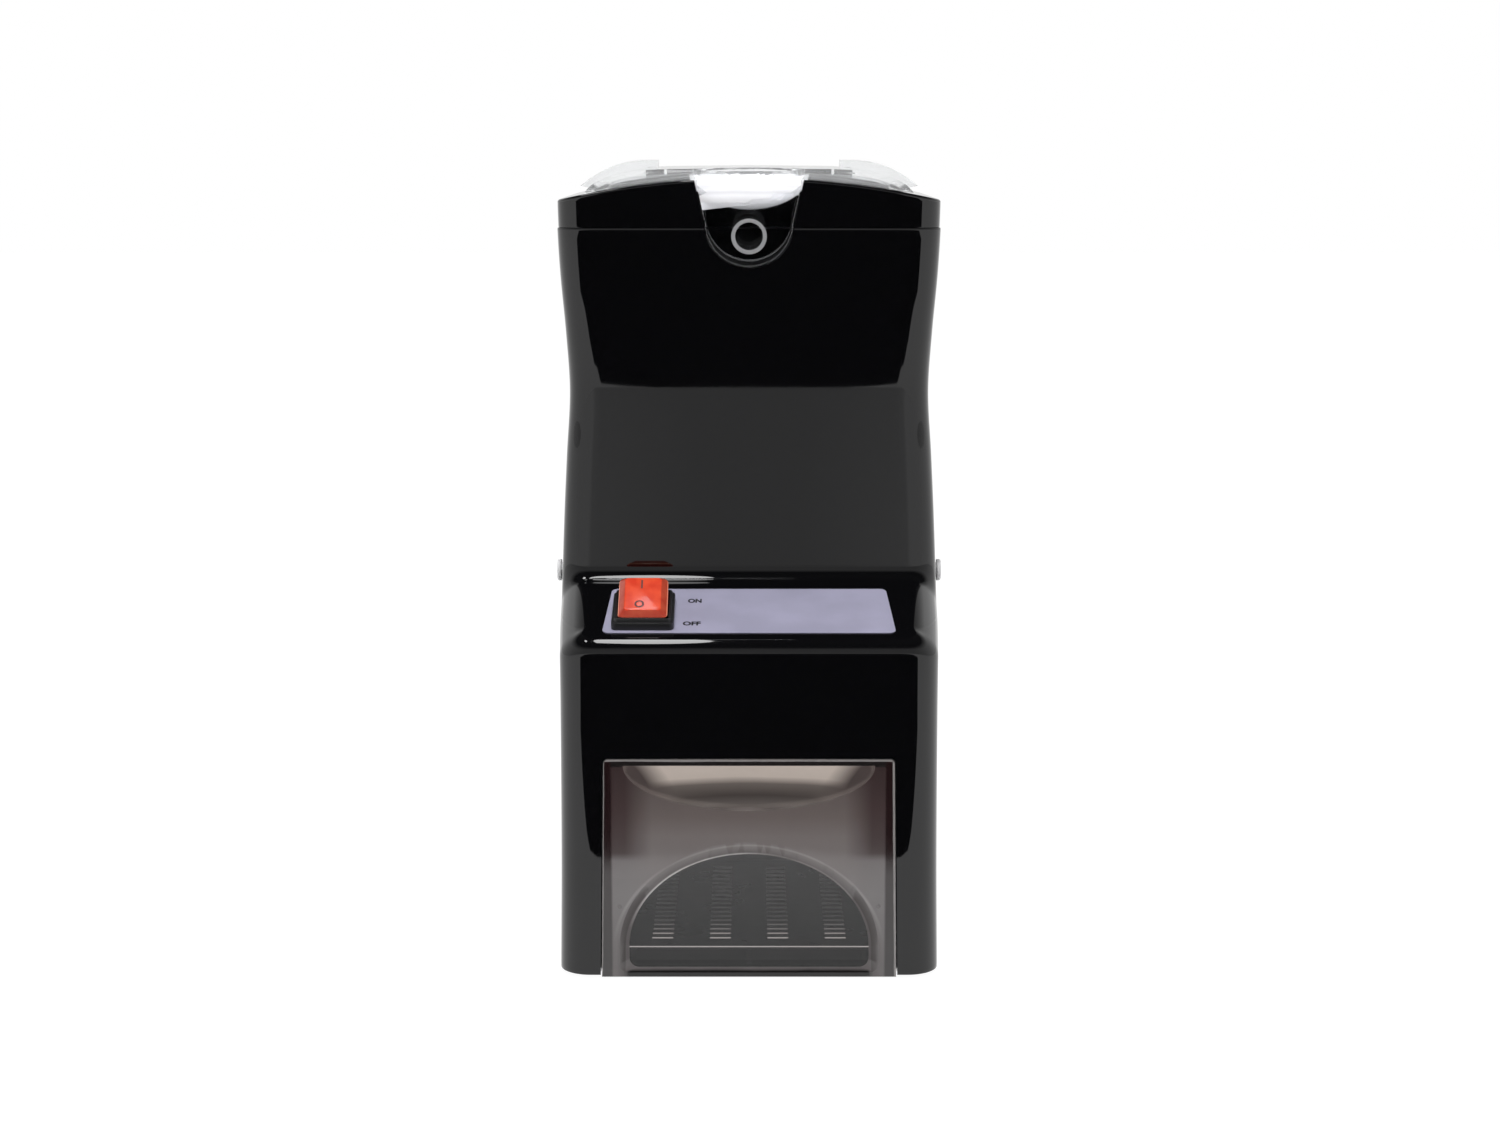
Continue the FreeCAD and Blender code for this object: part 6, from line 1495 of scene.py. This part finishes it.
def bare_material(name):
    """A material with nothing in it but its output, for shaders of our own choice."""
    material = bpy.data.materials.new(name)
    material.use_nodes = True
    nodes, links = material.node_tree.nodes, material.node_tree.links
    nodes.clear()
    return material, nodes, links, nodes.new("ShaderNodeOutputMaterial").inputs["Surface"]


def diffuse(nodes, value):
    shader = nodes.new("ShaderNodeBsdfDiffuse")
    shader.inputs["Color"].default_value = (value, value, value, 1.0)
    return shader


def floor_white(lit=0.84, seen=0.965, share=0.20):
    """Matt white; to the camera mostly its own white, so that only a soft shadow stays."""
    material, nodes, links, surface = bare_material("floor_white")
    own_white = nodes.new("ShaderNodeEmission")
    own_white.inputs["Strength"].default_value = seen
    both = nodes.new("ShaderNodeAddShader")
    links.new(diffuse(nodes, share).outputs[0], both.inputs[0])
    links.new(own_white.outputs[0], both.inputs[1])
    mix = nodes.new("ShaderNodeMixShader")
    links.new(is_background_ray(nodes, links, True), mix.inputs["Fac"])
    links.new(diffuse(nodes, lit).outputs[0], mix.inputs[1])
    links.new(both.outputs[0], mix.inputs[2])
    links.new(mix.outputs[0], surface)
    return material


def matt(name, value):
    """A card that only scatters."""
    return finish(name, (value, value, value), 0.9, Specular_IOR_Level=0.0)[0]


def glow(name, middle, sides):
    """An evenly lit card, dimmer in the middle than at its sides."""
    material, nodes, links, surface = bare_material(name)
    light = nodes.new("ShaderNodeEmission")
    where = nodes.new("ShaderNodeTexCoord")
    apart = nodes.new("ShaderNodeSeparateXYZ")
    links.new(where.outputs["Object"], apart.inputs[0])
    across = math_of(nodes, links, "ABSOLUTE", apart.outputs["X"])
    links.new(step_between(nodes, links, across, 0.10, 0.80, middle, sides), light.inputs["Strength"])
    links.new(light.outputs[0], surface)
    return material


print("stage materials ready")

# %% Floor and cards
STAGE_REACH, FLOOR_Z, CARD_Z, FAR_CARD_Z = 8.0, -0.0004, 0.0006, 0.0006


def stage_plane(name, x0, x1, y0, y1, z, material):
    nothing_selected()
    bpy.ops.mesh.primitive_plane_add(size=1.0, location=((x0 + x1) / 2, (y0 + y1) / 2, z))
    obj = bpy.context.object
    obj.scale = (x1 - x0, y1 - y0, 1.0)
    settle(obj, name)
    obj.data.materials.append(material)
    return obj


stage_plane("floor", -STAGE_REACH, STAGE_REACH, -STAGE_REACH, STAGE_REACH, FLOOR_Z, floor_white())
CARD_HALF = ((0.08, -0.34), (0.45, -0.55), (0.62, -0.80), (0.43, -1.40), (0.25, -1.95), (0.24, -2.12),
             (0.23, -2.25), (0.21, -2.36), (0.18, -2.43), (0.14, -2.47))
CARD_END = CARD_HALF[-1][1]
card_outline = [(x, y, CARD_Z) for x, y in CARD_HALF] + [(-x, y, CARD_Z) for x, y in reversed(CARD_HALF)]
card = flat_piece(np.array(card_outline) / MM, "dark_card")
card.data.materials.append(matt("card_black", 0.004))
far_card = stage_plane("grey_card", -STAGE_REACH, STAGE_REACH, -STAGE_REACH, CARD_END, FAR_CARD_Z,
                       glow("card_grey", 0.60, 1.0))
for flat in (card, far_card):
    for ray in ("camera", "diffuse", "shadow"):
        setattr(flat, "visible_" + ray, False)
print("dark card reaches", round(-CARD_END, 2), "m forwards")

# %% World
DARK_SKY, FRONT_LEVEL = 0.03, 0.60

world = bpy.data.worlds.new("studio")
scene.world = world
world.use_nodes = True
nodes, links = world.node_tree.nodes, world.node_tree.links
nodes.clear()
world_out = nodes.new("ShaderNodeOutputWorld")
seen_white = nodes.new("ShaderNodeBackground")
seen_white.inputs["Color"].default_value = (1.0, 1.0, 1.0, 1.0)
room = nodes.new("ShaderNodeBackground")
direction = nodes.new("ShaderNodeTexCoord")
apart = nodes.new("ShaderNodeSeparateXYZ")
links.new(direction.outputs["Generated"], apart.inputs[0])
by_height = step_between(nodes, links, apart.outputs["Z"], 0.45, 0.70, 1.0, DARK_SKY)
by_depth = step_between(nodes, links, apart.outputs["Y"], -0.9, 0.1, FRONT_LEVEL, 1.0)
links.new(math_of(nodes, links, "MULTIPLY", by_height, by_depth), room.inputs["Strength"])
which = nodes.new("ShaderNodeMixShader")
links.new(is_background_ray(nodes, links), which.inputs["Fac"])
links.new(room.outputs[0], which.inputs[1])
links.new(seen_white.outputs[0], which.inputs[2])
links.new(which.outputs[0], world_out.inputs["Surface"])
print("world nodes:", len(nodes))

# %% Lamps
def lamp(name, place, aim, size, power, size_y=None, shines=True, shape="RECTANGLE"):
    """An area lamp at a place, aimed at a point; it shows in the gloss or it doesn't."""
    data = bpy.data.lights.new(name, "AREA")
    data.shape = shape
    data.size = size
    data.size_y = size_y or size
    data.energy = power
    obj = bpy.data.objects.new(name, data)
    scene.collection.objects.link(obj)
    obj.location = place
    obj.rotation_euler = (Vector(aim) - Vector(place)).to_track_quat("-Z", "Y").to_euler()
    obj.visible_glossy = shines


lamp("top_fill", (0.0, -0.7, 1.9), (0.0, 0.0, 0.2), 1.2, 24.0, shines=False)
lamp("strip", (-0.115, -0.125, 1.70), (-0.115, -0.125, 0.0), 0.150, 4.8, 1.2, shape="ELLIPSE")
lamp("cap_strip", (-0.45, -0.10, 1.60), (-0.055, -0.06, 0.41), 0.40, 2.6, 0.22, shape="ELLIPSE")
print("lamps:", len(bpy.data.lights))
